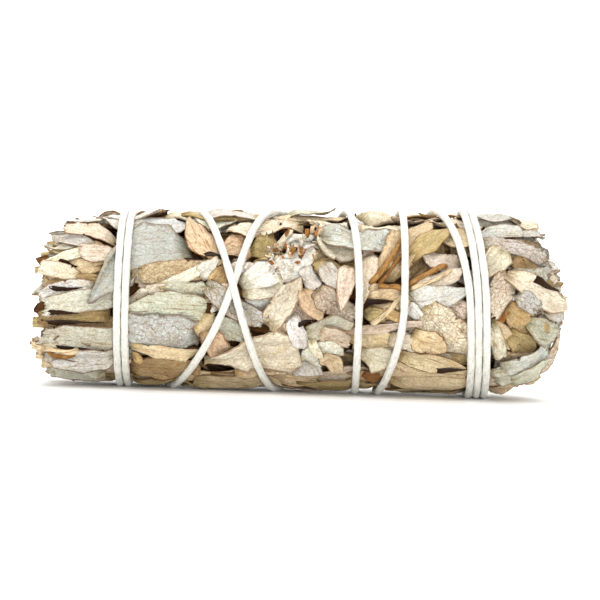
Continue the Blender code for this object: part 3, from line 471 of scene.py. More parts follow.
def leaf_material():
    """Dried sage leaf: its own colour, mottled, with a pale rib, slanting side veins, a raised net of small
    veins, browned margins that also paint a thin shade line along each edge, painted shade towards its tucked
    base, and a felt of short hairs. It reads the leaf's own UV map, which is in mm."""
    made, tree, shader = empty_material("dried sage leaf", 0.92, 0.06)
    tone = own_value(tree, "tone")
    traits = own_value(tree, "traits")
    net_share, age, chance = node(tree, "ShaderNodeSeparateColor", None, [traits])[:3]
    reach = own_value(tree, "on_leaf")
    along, margin, under = node(tree, "ShaderNodeSeparateColor", None, [reach])[:3]
    uv = leaf_uv(tree)
    shift = node(tree, "ShaderNodeCombineXYZ", None, [chance * 91.0, chance * 57.0, chance * 33.0])[0]
    where = moved(tree, uv, shift)
    up, across = node(tree, "ShaderNodeSeparateXYZ", None, [uv])[:2]
    across = across.size()

    cloud = noise(tree, where, 0.35, 3.0, 0.6)
    fine_cloud = noise(tree, where, 1.7, 4.0, 0.65)
    felt = noise(tree, where, 2.1, 5.0, 0.8)
    wobble = noise(tree, where, 0.8, 2.0) - 0.5

    streak = noise(tree, stretch(tree, where, (0.30, 2.3, 1.0)), 1.0, 4.0, 0.62)
    fine_streak = noise(tree, stretch(tree, where, (0.9, 5.5, 1.0)), 1.0, 3.0, 0.6)

    rib = 1.0 - step(tree, across + wobble * 0.25, 0.10, 0.34)
    rib = rib * (1.0 - along * 0.75)
    slant = ((up - across * 1.15 + wobble * 1.6) * 0.42).part() - 0.5
    veins = 1.0 - step(tree, slant.size(), 0.02, 0.10)
    veins = veins * step(tree, across, 0.15, 0.6) * (1.0 - margin * 0.6)
    drift = node(tree, "ShaderNodeTexNoise", None, {"Vector": where, "Scale": 1.3, "Detail": 2.0})[1]
    cell_where = moved(tree, where, stretch(tree, drift, (0.6, 0.6, 0.6)))
    coarse_line = 1.0 - step(tree, net_distance(tree, cell_where, 1.05), 0.02, 0.10)
    small_line = 1.0 - step(tree, net_distance(tree, cell_where, 2.5), 0.02, 0.16)
    net_seen = 0.08 + net_share * 0.92
    line = (coarse_line * 0.9 + small_line * 0.45) * net_seen
    line_seen = line * 0.46 + veins * (0.22 + 0.25 * net_share) + rib * 0.22

    age = 0.15 + age * 0.85
    # Browned margins: partly the leaf's own browning, partly painted shade for the thin shadow line along each
    # edge.
    browned_and_edge_shade = step(tree, margin + wobble * 0.2, 0.86, 0.97) * (0.45 + age * 0.55)
    tip_brown = step(tree, along + wobble * 0.4, 0.88, 1.05) * age * 0.5
    spots = step(tree, fine_cloud, 0.56, 0.72) * (0.10 + age * 0.55)
    furrows = step(tree, streak, 0.56, 0.63) * (0.05 + age * 0.75) + step(tree, fine_streak, 0.57, 0.66) * 0.42
    specks = step(tree, noise(tree, where, 5.5, 2.0, 0.6), 0.60, 0.70) * (0.40 + age * 0.5)
    colour = tone
    for share, shade in (
        (step(tree, cloud, 0.42, 0.70) * 0.50, (0.92, 0.80, 0.60)),
        (1.0 - step(tree, cloud, 0.28, 0.52), (1.08, 1.11, 1.08)),
        (spots, (0.50, 0.29, 0.11)),
        (line_seen * 0.95, (0.34, 0.18, 0.08)),
        (browned_and_edge_shade, (0.27, 0.12, 0.03)),
        (tip_brown, (0.40, 0.25, 0.13)),
        (under * 0.5, (0.80, 0.68, 0.53)),
        (furrows, (0.33, 0.17, 0.06)),
        (specks, (0.37, 0.19, 0.07)),
    ):
        colour = blend(tree, share, colour, (*shade, 1.0), "MULTIPLY")
    # Painted shade: each leaf is darker towards its tucked base, where it goes under the others. It rides in
    # the grain with the felt, and the darker the grain, the warmer it turns, as light in a hollow between brown
    # leaves would.
    tucked_shade = 0.50 + 0.50 * step(tree, along + wobble * 0.2, 0.0, 0.22)
    grain = (0.12 + felt * 1.90) * tucked_shade
    grain = node(tree, "ShaderNodeCombineColor", None, [grain**0.86, grain, grain**1.4])[0]
    colour = blend(tree, 1.0, colour, grain, "MULTIPLY")

    wrinkles = noise(tree, where, 0.9, 4.0, 0.6)
    height = wrinkles * 0.5 - streak * 0.9 - fine_streak * 0.5 + line * 0.22 + veins * 0.16 - rib * 0.3
    finish(tree, shader, colour, height + felt * 0.50, 0.85, 0.5)
    return made


def inner_material():
    """Crumbled leaf packed under the outer leaves: dark tan, grainy; its darkness is partly painted shade for
    the depths between the outer leaves.
    """
    made, tree, shader = empty_material("packed leaf in painted shade", 0.95, 0.0)
    where = node(tree, "ShaderNodeTexCoord")[3]
    cloud = noise(tree, where, 420.0, 4.0, 0.7)
    grain = noise(tree, where, 2400.0, 3.0, 0.7)
    colour = blend(tree, step(tree, cloud, 0.35, 0.65), rgb(40, 22, 6), rgb(80, 52, 20))
    colour = blend(tree, step(tree, grain, 0.5, 0.7) * 0.5, colour, rgb(120, 88, 46))
    finish(tree, shader, colour, cloud + grain, 0.9, 0.6)
    return made


def bark_material():
    """Thin woody stem: its own colour with lengthwise streaks, darker in the furrows."""
    made, tree, shader = empty_material("woody stem", 0.8, 0.0)
    tone = own_value(tree, "tone")
    uv = leaf_uv(tree)
    streaks = noise(tree, stretch(tree, uv, (0.5, 6.0, 1.0)), 1.0, 4.0, 0.6)
    blotch = noise(tree, uv, 0.8, 3.0)
    colour = blend(tree, step(tree, streaks, 0.44, 0.58) * 0.7, tone, rgb(96, 66, 38))
    colour = blend(tree, step(tree, blotch, 0.5, 0.7) * 0.35, colour, rgb(206, 176, 132))
    finish(tree, shader, colour, streaks, 0.6, 0.2)
    return made


def cotton_material():
    """White cotton: fine fibres along the yarn, a little yellowed in clouds."""
    made, tree, shader = empty_material("white cotton string", 0.9, 0.1)
    uv = leaf_uv(tree)
    fibres = noise(tree, stretch(tree, uv, (0.7, 11.0, 1.0)), 1.0, 4.0, 0.7)
    cloud = noise(tree, uv, 0.5, 2.0)
    colour = blend(tree, step(tree, fibres, 0.35, 0.60), rgb(188, 186, 175), rgb(219, 218, 211))
    colour = blend(tree, step(tree, cloud, 0.5, 0.75) * 0.25, colour, rgb(210, 205, 192))
    finish(tree, shader, colour, fibres, 0.55, 0.11)
    return made


def floor_material():
    """Smooth white table."""
    made, tree, shader = empty_material("white table", 0.6, 0.0)
    where = node(tree, "ShaderNodeTexCoord")[3]
    cloud = noise(tree, where, 3.0, 2.0)
    colour = blend(tree, cloud, (0.90, 0.90, 0.90, 1.0), (0.93, 0.93, 0.925, 1.0))
    tree.links.new(colour.socket, shader.inputs["Base Color"])
    return made


# The bundle's surface

def smooth_curve(knots, values, wanted):
    """Curve through the points (knots rising) whose slopes are harmonic means, so it never overshoots."""
    steps = np.diff(knots)
    secant = np.diff(values) / steps
    product = secant[:-1] * secant[1:]
    total = secant[:-1] + secant[1:]
    middle = np.where(product > 0, 2 * product / np.where(total == 0, 1, total), 0)
    slope = np.concatenate([secant[:1], middle, secant[-1:]])
    cell = np.clip(np.searchsorted(knots, wanted) - 1, 0, len(steps) - 1)
    t = (wanted - knots[cell]) / steps[cell]
    rise = steps[cell]
    return (
        (2 * t**3 - 3 * t**2 + 1) * values[cell] + (t**3 - 2 * t**2 + t) * rise * slope[cell]
        + (3 * t**2 - 2 * t**3) * values[cell + 1] + (t**3 - t**2) * rise * slope[cell + 1]
    )


def string_reach(x):
    """Outer distance of the string from the axis: it grows evenly with x."""
    return STRING_R_MIDDLE + STRING_R_GROWTH * x


def axis_height(x):
    """Height of the bundle's axis over the table."""
    return string_reach(x) - UNDERSIDE_FLAT


def floor_distance(x, angle, height):
    """Distance from the axis, along an angle, at which the given height above the floor is reached."""
    down = np.maximum(-np.sin(np.radians(angle)), 0.05)
    return (axis_height(x) - height) / down


def point(x, angle, distance):
    """Point in metres from x, the angle round the axis and the distance from it."""
    turn = np.radians(angle)
    height = axis_height(x) + distance * np.sin(turn)
    depth = -distance * np.cos(turn)
    return np.stack(np.broadcast_arrays(x, depth, height), axis=-1) * MM


def outline_tables():
    """Rows of run, x, distance and outward direction along the bundle's outline, a tenth of a mm apart.

    The outline is a smooth curve through the reach of the leaves, and the run is its arc length, 0 at x = 0.
    """
    knots = np.array(LEAF_REACH)
    chord = np.concatenate([[0], np.cumsum(np.hypot(*np.diff(knots, axis=0).T))])
    fine = np.arange(0, chord[-1], 0.1)
    x = smooth_curve(chord, knots[:, 0], fine)
    distance = smooth_curve(chord, knots[:, 1], fine)
    kernel = np.hanning(31)
    kernel /= kernel.sum()
    x = np.convolve(np.pad(x, 15, mode="reflect", reflect_type="odd"), kernel, mode="valid")
    distance = np.convolve(np.pad(distance, 15, mode="reflect", reflect_type="odd"), kernel, mode="valid")
    run = np.concatenate([[0], np.cumsum(np.hypot(np.diff(x), np.diff(distance)))])
    run -= np.interp(0.0, x, run)
    ahead = np.gradient(x, run)
    outward = np.gradient(distance, run)
    return run, x, np.maximum(distance, 0.3), -outward, ahead


RUN, RUN_X, RUN_DISTANCE, RUN_TO_X, RUN_TO_OUT = outline_tables()


def run_at(x):
    """Run of a leaf's end at x; beyond x = 51 it is the rounded tip."""
    return np.interp(x, RUN_X, RUN) if x < 51.0 else RUN[-1] - 2


def distance_at(run):
    """Distance from the axis of the surface that the leaves reach."""
    return np.interp(run, RUN, RUN_DISTANCE)


def place(run, angle, height):
    """Point in metres over the surface that the leaves reach; the underside is flat where it lies down."""
    x = np.interp(run, RUN, RUN_X)
    distance = np.minimum(distance_at(run), floor_distance(x, angle, LEAF_FLOOR))
    x = x + np.interp(run, RUN, RUN_TO_X) * height
    distance = np.maximum(distance + np.interp(run, RUN, RUN_TO_OUT) * height, 0.05)
    return point(x, angle, distance)


def stem_line(index, x):
    """Angle of the line between two stems at x: a mean angle and a slow swing."""
    mean, swing, length, shift = STEM_LINES[index]
    return mean + swing * np.sin(2 * np.pi * (x - shift) / length)


def stem_of(x, angle):
    """Which stem's share of the bundle a place lies in."""
    turned = (angle - stem_line(0, x)) % 360
    starts = np.array([(stem_line(k, x) - stem_line(0, x)) % 360 for k in range(len(STEM_LINES))])
    return int(np.searchsorted(starts, turned, side="right") - 1)


# The string's path

def string_bed(x, angle):
    """Distance from the axis of the string's centre where nothing lies under it but leaves."""
    return np.minimum(string_reach(x) - STRING_DEPTH, floor_distance(x, angle, STRING_RADIUS + 0.02))


def string_lift(x, angle):
    """Extra distance where strands cross: the one earlier in the route goes over, the later sinks a bit."""
    girth = np.radians(angle) * STRING_R_MIDDLE
    apart_x = x[:, None] - x[None, :]
    apart_g = np.radians((angle[:, None] - angle[None, :] + 180) % 360 - 180) * STRING_R_MIDDLE
    apart = np.hypot(apart_x, apart_g)
    along = np.abs(girth[:, None] - girth[None, :])
    near = np.where(along > STRING_R_MIDDLE, np.sqrt(np.maximum(STRAND_PITCH**2 - apart**2, 0)), 0)
    order = np.arange(len(x))
    over = np.where(order[None, :] > order[:, None], near, 0).max(axis=1) - STRAND_SINK
    under = np.where(order[None, :] < order[:, None], near, 0).max(axis=1)
    ramp = (over[None, :] - 0.42 * along).max(axis=1)
    dip = (np.minimum(under, STRAND_SINK)[None, :] - 0.15 * along).max(axis=1)
    return np.maximum(ramp, 0) - np.where(ramp > 0, 0, np.maximum(dip, 0))


def string_path():
    """x, angle and distance of points along the string, knot to knot."""
    route = np.array(STRING_ROUTE, dtype=float)
    turned = np.arange(-route[0, 0], -route[-1, 0], 2.5)
    x = smooth_curve(-route[:, 0], route[:, 1], turned)
    lift = string_lift(x, -turned)
    kernel = np.hanning(9)
    lift = np.convolve(np.pad(lift, 4, mode="edge"), kernel / kernel.sum(), mode="valid")
    return x, -turned, string_bed(x, -turned) + lift


def curve_through(places, count):
    """Smooth curve through listed pairs of values: its parameter, first values and second values."""
    knots = np.array(places, dtype=float)
    number = np.arange(len(knots))
    t = np.linspace(0, number[-1], count)
    return t, smooth_curve(number, knots[:, 0], t), smooth_curve(number, knots[:, 1], t)


def tail_path(tail):
    """x, angle and distance of points along one loose end of the string."""
    t, angle, x = curve_through(tail, 24)
    return x, angle, string_reach(x) - STRING_DEPTH + 0.9 * (1 - t / t[-1])


# Meshes

class Sheaf:
    """Surfaces gathered for one piece: points, faces of four corners, and each point's own values."""

    def __init__(self):
        self.points = []
        self.faces = []
        self.hard = []
        self.values = {"tone": [], "traits": [], "on_leaf": [], "leaf": []}
        self.count = 0

    def add(self, points, faces, hard, tone, traits, on_leaf, uv):
        """Add one surface; hard marks the faces shaded flat. No point goes under the table."""
        total = len(points)
        points[:, 2] = np.maximum(points[:, 2], 0.02 * MM)
        self.points.append(points)
        self.faces.append(np.asarray(faces) + self.count)
        self.hard.append(hard)
        for key, value in (("tone", tone), ("traits", traits), ("on_leaf", on_leaf), ("leaf", uv)):
            self.values[key].append(np.broadcast_to(value, (total, 2 if key == "leaf" else 4)))
        self.count += total

    def make(self, name, materials):
        """Object with all that was added, faces outwards, at the origin."""
        points = np.concatenate(self.points)
        faces = np.concatenate(self.faces).astype(np.int32)
        mesh = bpy.data.meshes.new(name)
        mesh.vertices.add(len(points))
        mesh.vertices.foreach_set("co", points.astype(np.float32).ravel())
        mesh.loops.add(faces.size)
        mesh.loops.foreach_set("vertex_index", faces.ravel())
        mesh.polygons.add(len(faces))
        mesh.polygons.foreach_set("loop_start", np.arange(0, faces.size, 4, dtype=np.int32))
        mesh.update(calc_edges=True)
        mesh.polygons.foreach_set("use_smooth", ~np.concatenate(self.hard))
        for key in ("tone", "traits", "on_leaf"):
            values = np.concatenate(self.values[key]).astype(np.float32)
            mesh.attributes.new(key, "FLOAT_COLOR", "POINT").data.foreach_set("color", values.ravel())
        uv = np.concatenate(self.values["leaf"]).astype(np.float32)[faces.ravel()]
        mesh.uv_layers.new(name="leaf").data.foreach_set("uv", uv.ravel())
        for material in materials:
            mesh.materials.append(material)
        thing = bpy.data.objects.new(name, mesh)
        bpy.context.scene.collection.objects.link(thing)
        return thing


def grid_faces(rows, columns, wrap=False):
    """Corner numbers of the faces of a grid of points; wrap joins its last column to its first."""
    number = np.arange(rows * columns).reshape(rows, columns)
    if wrap:
        number = np.concatenate([number, number[:, :1]], axis=1)
    return np.stack([number[:-1, :-1], number[:-1, 1:], number[1:, 1:], number[1:, :-1]], -1).reshape(-1, 4)


def sheet_faces(rows, columns):
    """Faces of a closed thin sheet of two like grids, upper first, and which of them are its rim."""
    upper = grid_faces(rows, columns)
    total = rows * columns
    lower = upper[:, ::-1] + total
    number = np.arange(total).reshape(rows, columns)
    rim = np.concatenate([number[0, :-1], number[:-1, -1], number[-1, :0:-1], number[:0:-1, 0]])
    after = np.roll(rim, -1)
    wall = np.stack([after, rim, rim + total, after + total], axis=1)
    hard = np.concatenate([np.zeros(2 * len(upper), bool), np.ones(len(wall), bool)])
    return np.concatenate([upper, lower, wall]), hard


def surface_normals(grid):
    """Unit normals of a grid of points: the cross product of its two directions."""
    normal = np.cross(np.gradient(grid, axis=1), np.gradient(grid, axis=0))
    return normal / np.maximum(np.linalg.norm(normal, axis=-1, keepdims=True), 1e-12)


def turned_out(middle, outward, *fields):
    """Points, unit normals and fields of a sheet, their columns reversed if the normals would point inwards."""
    normal = surface_normals(middle)
    if (normal * outward).sum() < 0:
        normal = -normal[:, ::-1]
        middle, *fields = [a[:, ::-1] for a in (middle, *fields)]
    return (middle, normal, *fields)


def both_sides(middle, half):
    """Points of a sheet's upper side, then of its lower side, half a thickness from its middle."""
    return np.concatenate([(middle + half).reshape(-1, 3), (middle - half).reshape(-1, 3)])


def soften(values, across="edge"):
    """Each value averaged with its neighbours, two to each side, both ways; across is wrap where the second way
    closes on itself round the bundle."""
    for axis, mode in ((0, "edge"), (1, across)):
        wide = np.pad(values, [(2, 2) if k == axis else (0, 0) for k in (0, 1)], mode=mode)
        total = values.shape[axis]
        values = sum(np.take(wide, np.arange(k, k + total), axis=axis) for k in range(5)) / 5
    return values


def refine(values, factor):
    """Values of a finer grid, blended straight between the points of a coarser one."""
    rows = np.linspace(0, values.shape[0] - 1, (values.shape[0] - 1) * factor + 1)
    columns = np.linspace(0, values.shape[1] - 1, (values.shape[1] - 1) * factor + 1)
    r = np.minimum(rows.astype(int), values.shape[0] - 2)
    c = np.minimum(columns.astype(int), values.shape[1] - 2)
    fr = (rows - r)[:, None]
    fc = (columns - c)[None, :]
    r = r[:, None]
    c = c[None, :]
    return (
        values[r, c] * (1 - fr) * (1 - fc) + values[r + 1, c] * fr * (1 - fc)
        + values[r, c + 1] * (1 - fr) * fc + values[r + 1, c + 1] * fr * fc
    )


class LeafBed:
    """Heights of what has been laid so far, on a map of the bundle's surface unrolled."""

    STEP_RUN = 0.3
    STEP_ANGLE = 1.0
    # The top of the cut end slopes down: how far, from which x, over how many mm
    SLOPE_DROP = 2.4
    SLOPE_FROM = -41
    SLOPE_LENGTH = 8

    def __init__(self, start):
        self.run = np.arange(RUN[0], RUN[-1], self.STEP_RUN)
        self.angle = np.arange(-180, 180, self.STEP_ANGLE)
        run, angle = np.meshgrid(self.run, self.angle, indexing="ij")
        x = np.interp(run, RUN, RUN_X)
        reach = np.minimum(distance_at(run), floor_distance(x, angle, LEAF_FLOOR))
        bed = string_bed(x, angle) - STRING_RADIUS - STRING_CLEARANCE
        self.cap = -np.maximum(reach - bed, 0) * self.grooves(x, angle)
        slope = np.clip((self.SLOPE_FROM - x) / self.SLOPE_LENGTH, 0, 1)
        self.cap -= self.SLOPE_DROP * slope * np.maximum(np.sin(np.radians(angle)), 0) ** 3
        self.top = np.full(run.shape, float(start))

    def grooves(self, x, angle):
        """How fully a place lies under the string: 1 on its centre line, falling to 0 beside it."""
        path_x, path_angle, _ = string_path()
        near = np.full(x.shape, 99.0)
        for strand_x, strand_angle in zip(path_x, path_angle):
            rows = np.abs(x[:, 0] - strand_x) < 3 * GROOVE_WIDTH
            apart = np.radians((angle[rows] - strand_angle + 180) % 360 - 180) * STRING_R_MIDDLE
            near[rows] = np.minimum(near[rows], np.hypot(x[rows] - strand_x, apart))
        return np.exp(-((near / GROOVE_WIDTH) ** 2))

    def cell(self, run, angle):
        """Row and column of the map at a place."""
        row = np.clip(np.rint((run - self.run[0]) / self.STEP_RUN).astype(int), 0, len(self.run) - 1)
        column = np.rint((angle + 180) / self.STEP_ANGLE).astype(int) % len(self.angle)
        return row, column

    def lay(self, run, angle, height):
        """Raise the map to a leaf's upper side."""
        spread = [refine(values, 4) for values in (run, angle, height)]
        np.maximum.at(self.top, self.cell(spread[0], spread[1]), spread[2])


def pressed(height, cap, crowd):
    """Heights pressed together under a cap: the nearer to it, the closer they lie."""
    over = np.maximum(height - (cap - crowd), 0)
    return np.where(over > 0, cap - crowd * np.exp(-over / crowd), height)


def margins(rng, u, outline):
    """Half width to the left and to the right along a leaf, as shares of the widest.

    Each side runs straight from knot to knot of its outline, with every knot moved a little, and is then
    a little uneven, with a nick here and there.
    """
    knots = np.array(OUTLINES[outline], dtype=float)
    sides = []
    for _ in range(2):
        at = knots[:, 0] + np.concatenate([[0], rng.uniform(-0.06, 0.06, len(knots) - 2), [0]])
        width = knots[:, 1] * rng.uniform(0.84, 1.08, len(knots))
        side = np.interp(u, at, width)
        side = side + rng.normal(0, 0.012, len(u)) + 0.02 * np.sin(2 * np.pi * (3 * u + rng.uniform()))
        if rng.random() < 0.6:
            side[rng.integers(len(u) // 4, len(u))] *= rng.uniform(0.7, 0.9)
        sides.append(np.maximum(side, 0.04))
    return sides


def cross_section(v, spec, edges):
    """Sideways and upward place across a leaf of half width 1: the sum of cos and sin of a tilt that grows
    with the arch, jumps at the fold and winds up towards a margin that curls."""
    middle = len(v) // 2
    tilt = np.zeros_like(v)
    start = spec.get("edge_from", 0.6)
    for side, edge in ((1, edges[1]), (-1, edges[0])):
        out = np.clip(v * side, 0, 1)
        wind = np.clip((out - start) / (1 - start), 0, 1) ** 1.2
        bend = spec["arch"] * out + spec.get("fold", 0.0) * np.clip(out / 0.1, 0, 1) + edge * wind
        tilt = np.where(v * side > 0, bend, tilt)
    half_tilt = (tilt[1:] + tilt[:-1]) / 2
    width = np.diff(v)
    sign = np.sign(v[1:] + v[:-1])
    sideways = np.concatenate([[0], np.cumsum(np.cos(half_tilt) * width)])
    upward = np.concatenate([[0], np.cumsum(np.sin(half_tilt) * width * sign)])
    sideways -= sideways[middle]
    upward -= upward[middle]
    return sideways, upward + spec.get("ridges", 0.0) * (np.cos(3 * np.pi * v) - 1) * 0.3


def creases(rng, along, side, sharpness):
    """Crumpling: a few straight creases at drawn places, each a slope that turns at its line and dies out."""
    total = 0
    for _ in range(4):
        turn = rng.uniform(-1.2, 1.2)
        offset = rng.uniform(along.min(), along.max())
        away = (along - offset) * math.cos(turn) + side * math.sin(turn)
        total = total + rng.choice([-1, 1]) * np.exp(-np.abs(away) / 1.3)
    return total * sharpness * 2.2


def leaf_grid(rng, length, width, kind, rows, columns):
    """Along, sideways and upward places in mm of a leaf's points, and its own flat coordinates.

    The end is slanted and jagged where it is cut; the margins wave and the whole leaf is crumpled.
    """
    spec = KINDS[kind]
    u = np.linspace(0, 1, rows)
    v = np.linspace(-1, 1, columns)
    v = np.sign(v) * np.abs(v) ** 0.8
    edges = np.array(spec["edges"]) * rng.uniform(0.8, 1.15, 2) + rng.normal(0, 0.25, 2)
    if rng.random() < 0.5 and kind not in ("edged", "smooth"):
        edges = edges[::-1]
    spec = dict(spec, arch=spec["arch"] * rng.uniform(0.7, 1.5) + rng.normal(0.06, 0.14))
    sideways, upward = cross_section(v, spec, edges)
    scale = width / 2 / max(np.abs(sideways).max(), 0.25)
    left, right = margins(rng, u, spec["outline"])
    share = np.where(v[None, :] < 0, left[:, None], right[:, None])
    off_rib = np.abs(v[None, :]) * 4
    share = share * np.clip(off_rib, 0, 1) + (left + right)[:, None] / 2 * np.clip(1 - off_rib, 0, 1)
    u, v = u[:, None], v[None, :]
    small = min(width / 5, 1.2)
    side = sideways[None, :] * scale * share
    up = upward[None, :] * scale * share
    tip_from = spec.get("tip_from", 0.72)
    tip = np.clip((u - tip_from) / (1 - tip_from), 0, 1) ** 1.3 * spec.get("tip", rng.normal(0.1, 0.35))
    stretch_along = np.concatenate([[[0.0]], np.cumsum(np.cos(tip[1:]), axis=0)]) / (rows - 1)
    up = up + np.concatenate([[[0.0]], np.cumsum(np.sin(tip[1:]), axis=0)]) * length / (rows - 1)
    along = length * stretch_along + 0 * v
    flat = v * scale * share
    if "slant" in spec:
        along = along + spec["slant"] * width / 2 * v * np.clip(u / 0.85, 0, 1)
    if spec["outline"] in ("cut", "strip"):
        jag = rng.normal(0, 0.10, columns) * width * 0.5
        slant = rng.uniform(-0.55, 0.55) * width * 0.5
        along = along + (slant * v + jag) * np.clip((u - 0.7) / 0.3, 0, 1) ** 1.5
    ripple = np.sin(2 * np.pi * (rng.uniform(0.8, 2.2) * u + rng.uniform() + 0.15 * v))
    up = up + 0.20 * small * ripple * np.abs(v) ** 2
    up = up + creases(rng, along, flat, spec["crease"] * small)
    up = up + rng.normal(0, 0.10) * side
    return u + 0 * v, v + 0 * u, along, side, up, flat


class Bundle:
    """All the leaves of the outside, laid one after another, then pressed together under the leaves' reach."""

    CLEAR = 0.12
    BASE = -4.6
    OVER_CAP = 0.35
    CROWD = 0.8

    def __init__(self, seed):
        self.rng = np.random.default_rng(seed)
        self.bed = LeafBed(self.BASE)
        self.sheaves = [Sheaf() for _ in STEM_NAMES]
        self.laid = []

    def leaf(self, entry, rows=14, columns=7, sink=1.0, stiff=7, age=None, shade=1.0):
        """Lay one leaf: draped on what is there, tucked in at its base, lifted at its free end."""
        x0, angle0, x1, angle1, width, kind, tone = entry
        rng = self.rng
        spec = KINDS[kind]
        thick = spec.get("thick", LEAF_THICK)
        run0, run1 = run_at(x0), run_at(x1)
        radius = float(distance_at((run0 + run1) / 2))
        girth = math.radians(angle1 - angle0) * radius
        length = math.hypot(run1 - run0, girth)
        u, v, along, side, up, flat = leaf_grid(rng, length, width, kind, rows, columns)
        ahead = np.array([run1 - run0, girth]) / length
        off = side + rng.uniform(-0.05, 0.05) * length * np.sin(np.pi * u)
        run = run0 + ahead[0] * along - ahead[1] * off
        near = np.maximum(distance_at(run), 3.0)
        angle = angle0 + (angle1 - angle0) * along / length + np.degrees(ahead[0] * off / near)
        under = self.bed.top[self.bed.cell(run, angle)]
        sheet = under
        for _ in range(stiff):
            sheet = np.maximum(under, soften(sheet))
        sheet = np.maximum(under - 0.1, soften(sheet))
        lift = spec.get("lift", 0.8) * np.clip((u - 0.55) / 0.45, 0, 1) ** 2 * min(width / 4.5, 1.2)
        tuck = sink * (1 - np.clip(u / 0.22, 0, 1)) ** 1.5
        low = np.minimum(up.min(axis=1, keepdims=True), 0)
        height = sheet + self.CLEAR + thick / 2 + (up - 0.6 * low) + lift - tuck
        self.bed.lay(run, angle, height + thick / 2)
        index = stem_of((x0 + x1) / 2, (angle0 + angle1) / 2)
        age = spec.get("age", rng.uniform(0.05, 0.6)) if age is None else age
        own = (u, v, flat, along, tone, kind, age, shade)
        self.laid.append((index, run, angle, height, thick, 0.5 * lift, *own))

    def settle(self):
        """Press the pile together where it stands above the reach, the most at the string, and make it.

        Heights over the base shrink by one share at each place, so the leaves keep their order.
        """
        top = self.bed.top
        for _ in range(2):
            for axis in (0, 1):
                top = np.max([np.roll(top, k, axis) for k in (-2, 0, 2)], axis=0)
        for _ in range(16):
            top = soften(top, "wrap")
        share = np.clip((self.bed.cap - self.BASE) / np.maximum(top - self.BASE, 0.5), 0.3, 1.2)
        self.share = soften(share, "wrap")
        for index, run, angle, height, thick, loose, u, v, flat, along, tone, kind, age, shade in self.laid:
            kept = soften(self.share[self.bed.cell(run, angle)])
            over = loose * np.clip(1 + 1.5 * np.sin(np.radians(angle)), 0, 1)
            height = self.BASE + (height - self.BASE) * kept
            height = pressed(height, self.bed.cap[self.bed.cell(run, angle)] + self.OVER_CAP, self.CROWD) + over
            middle = place(run, angle, height)
            outward = place(run, angle, height + 0.5) - middle
            middle, normal, u, v, flat, along, kept = turned_out(middle, outward, u, v, flat, along, kept)
            half = normal * (thick / 2 * MM) * np.minimum(kept, 1)[..., None]
            points = both_sides(middle, half * (1 - 0.5 * np.abs(v) ** 4)[..., None])
            self.colour_and_add(self.sheaves[index], points, u, v, flat, along, tone, kind, age, shade)

    def settled(self, run, angle):
        """Height of the pressed pile's top at places."""
        cell = self.bed.cell(run, angle)
        height = self.BASE + (self.bed.top[cell] - self.BASE) * self.share[cell]
        return pressed(height, self.bed.cap[cell] + self.OVER_CAP, self.CROWD)

    def colour_and_add(self, sheaf, points, u, v, flat, along, tone, kind, age, shade):
        """Give a leaf its colour, its traits and its own coordinates, and add it to its stem.

        Near the table its height eases towards 0.1 mm: 0.6 - 0.5 (1 - exp((height - 0.6) / 0.5)).
        """
        rng = self.rng
        faces, hard = sheet_faces(*u.shape)
        low = np.minimum(points[:, 2] / MM - 0.6, 0)
        points[:, 2] = np.where(low < 0, 0.6 - 0.5 * (1 - np.exp(low / 0.5)), points[:, 2] / MM) * MM
        colour = np.array(rgb(*TONES[tone]))
        colour[:3] *= shade * rng.uniform(0.86, 1.08) * rng.uniform(0.98, 1.02, 3)
        traits = np.array([KINDS[kind].get("net", rng.uniform(0, 0.35)), age, rng.uniform(), 1.0])
        both = np.concatenate([np.zeros(u.size), np.ones(u.size)])
        on_leaf = np.stack([np.tile(u.ravel(), 2), np.tile(np.abs(v).ravel(), 2), both, both * 0 + 1], -1)
        uv = np.tile(np.stack([along.ravel(), flat.ravel()], -1), (2, 1))
        sheaf.add(points, faces, hard, colour, traits, on_leaf, uv)


def pick(rng, names):
    """One of the names, drawn."""
    return str(rng.choice(names))


def random_leaf(rng, x_range, angle_range, length, width, kinds, tones, end=-50.8):
    """A leaf at a drawn place, lying roughly along the bundle."""
    x = rng.uniform(*x_range)
    angle = rng.uniform(*angle_range)
    run = rng.uniform(*length) * (1 if rng.random() < 0.7 else -1)
    heading = math.radians(rng.normal(0, 22))
    x1 = x + run * math.cos(heading)
    angle1 = angle + math.degrees(run * math.sin(heading) / STRING_R_MIDDLE)
    x1 = min(max(x1, end + 4.0 * max(math.sin(math.radians(angle1)), 0) ** 3), 45.5)
    if abs(x1 - x) < 3.0 and abs(angle1 - angle) < 9:
        x = x1 - 6.0 * (1 if run > 0 else -1)
    return (x, angle, x1, angle1, rng.uniform(*width), pick(rng, kinds), pick(rng, tones))


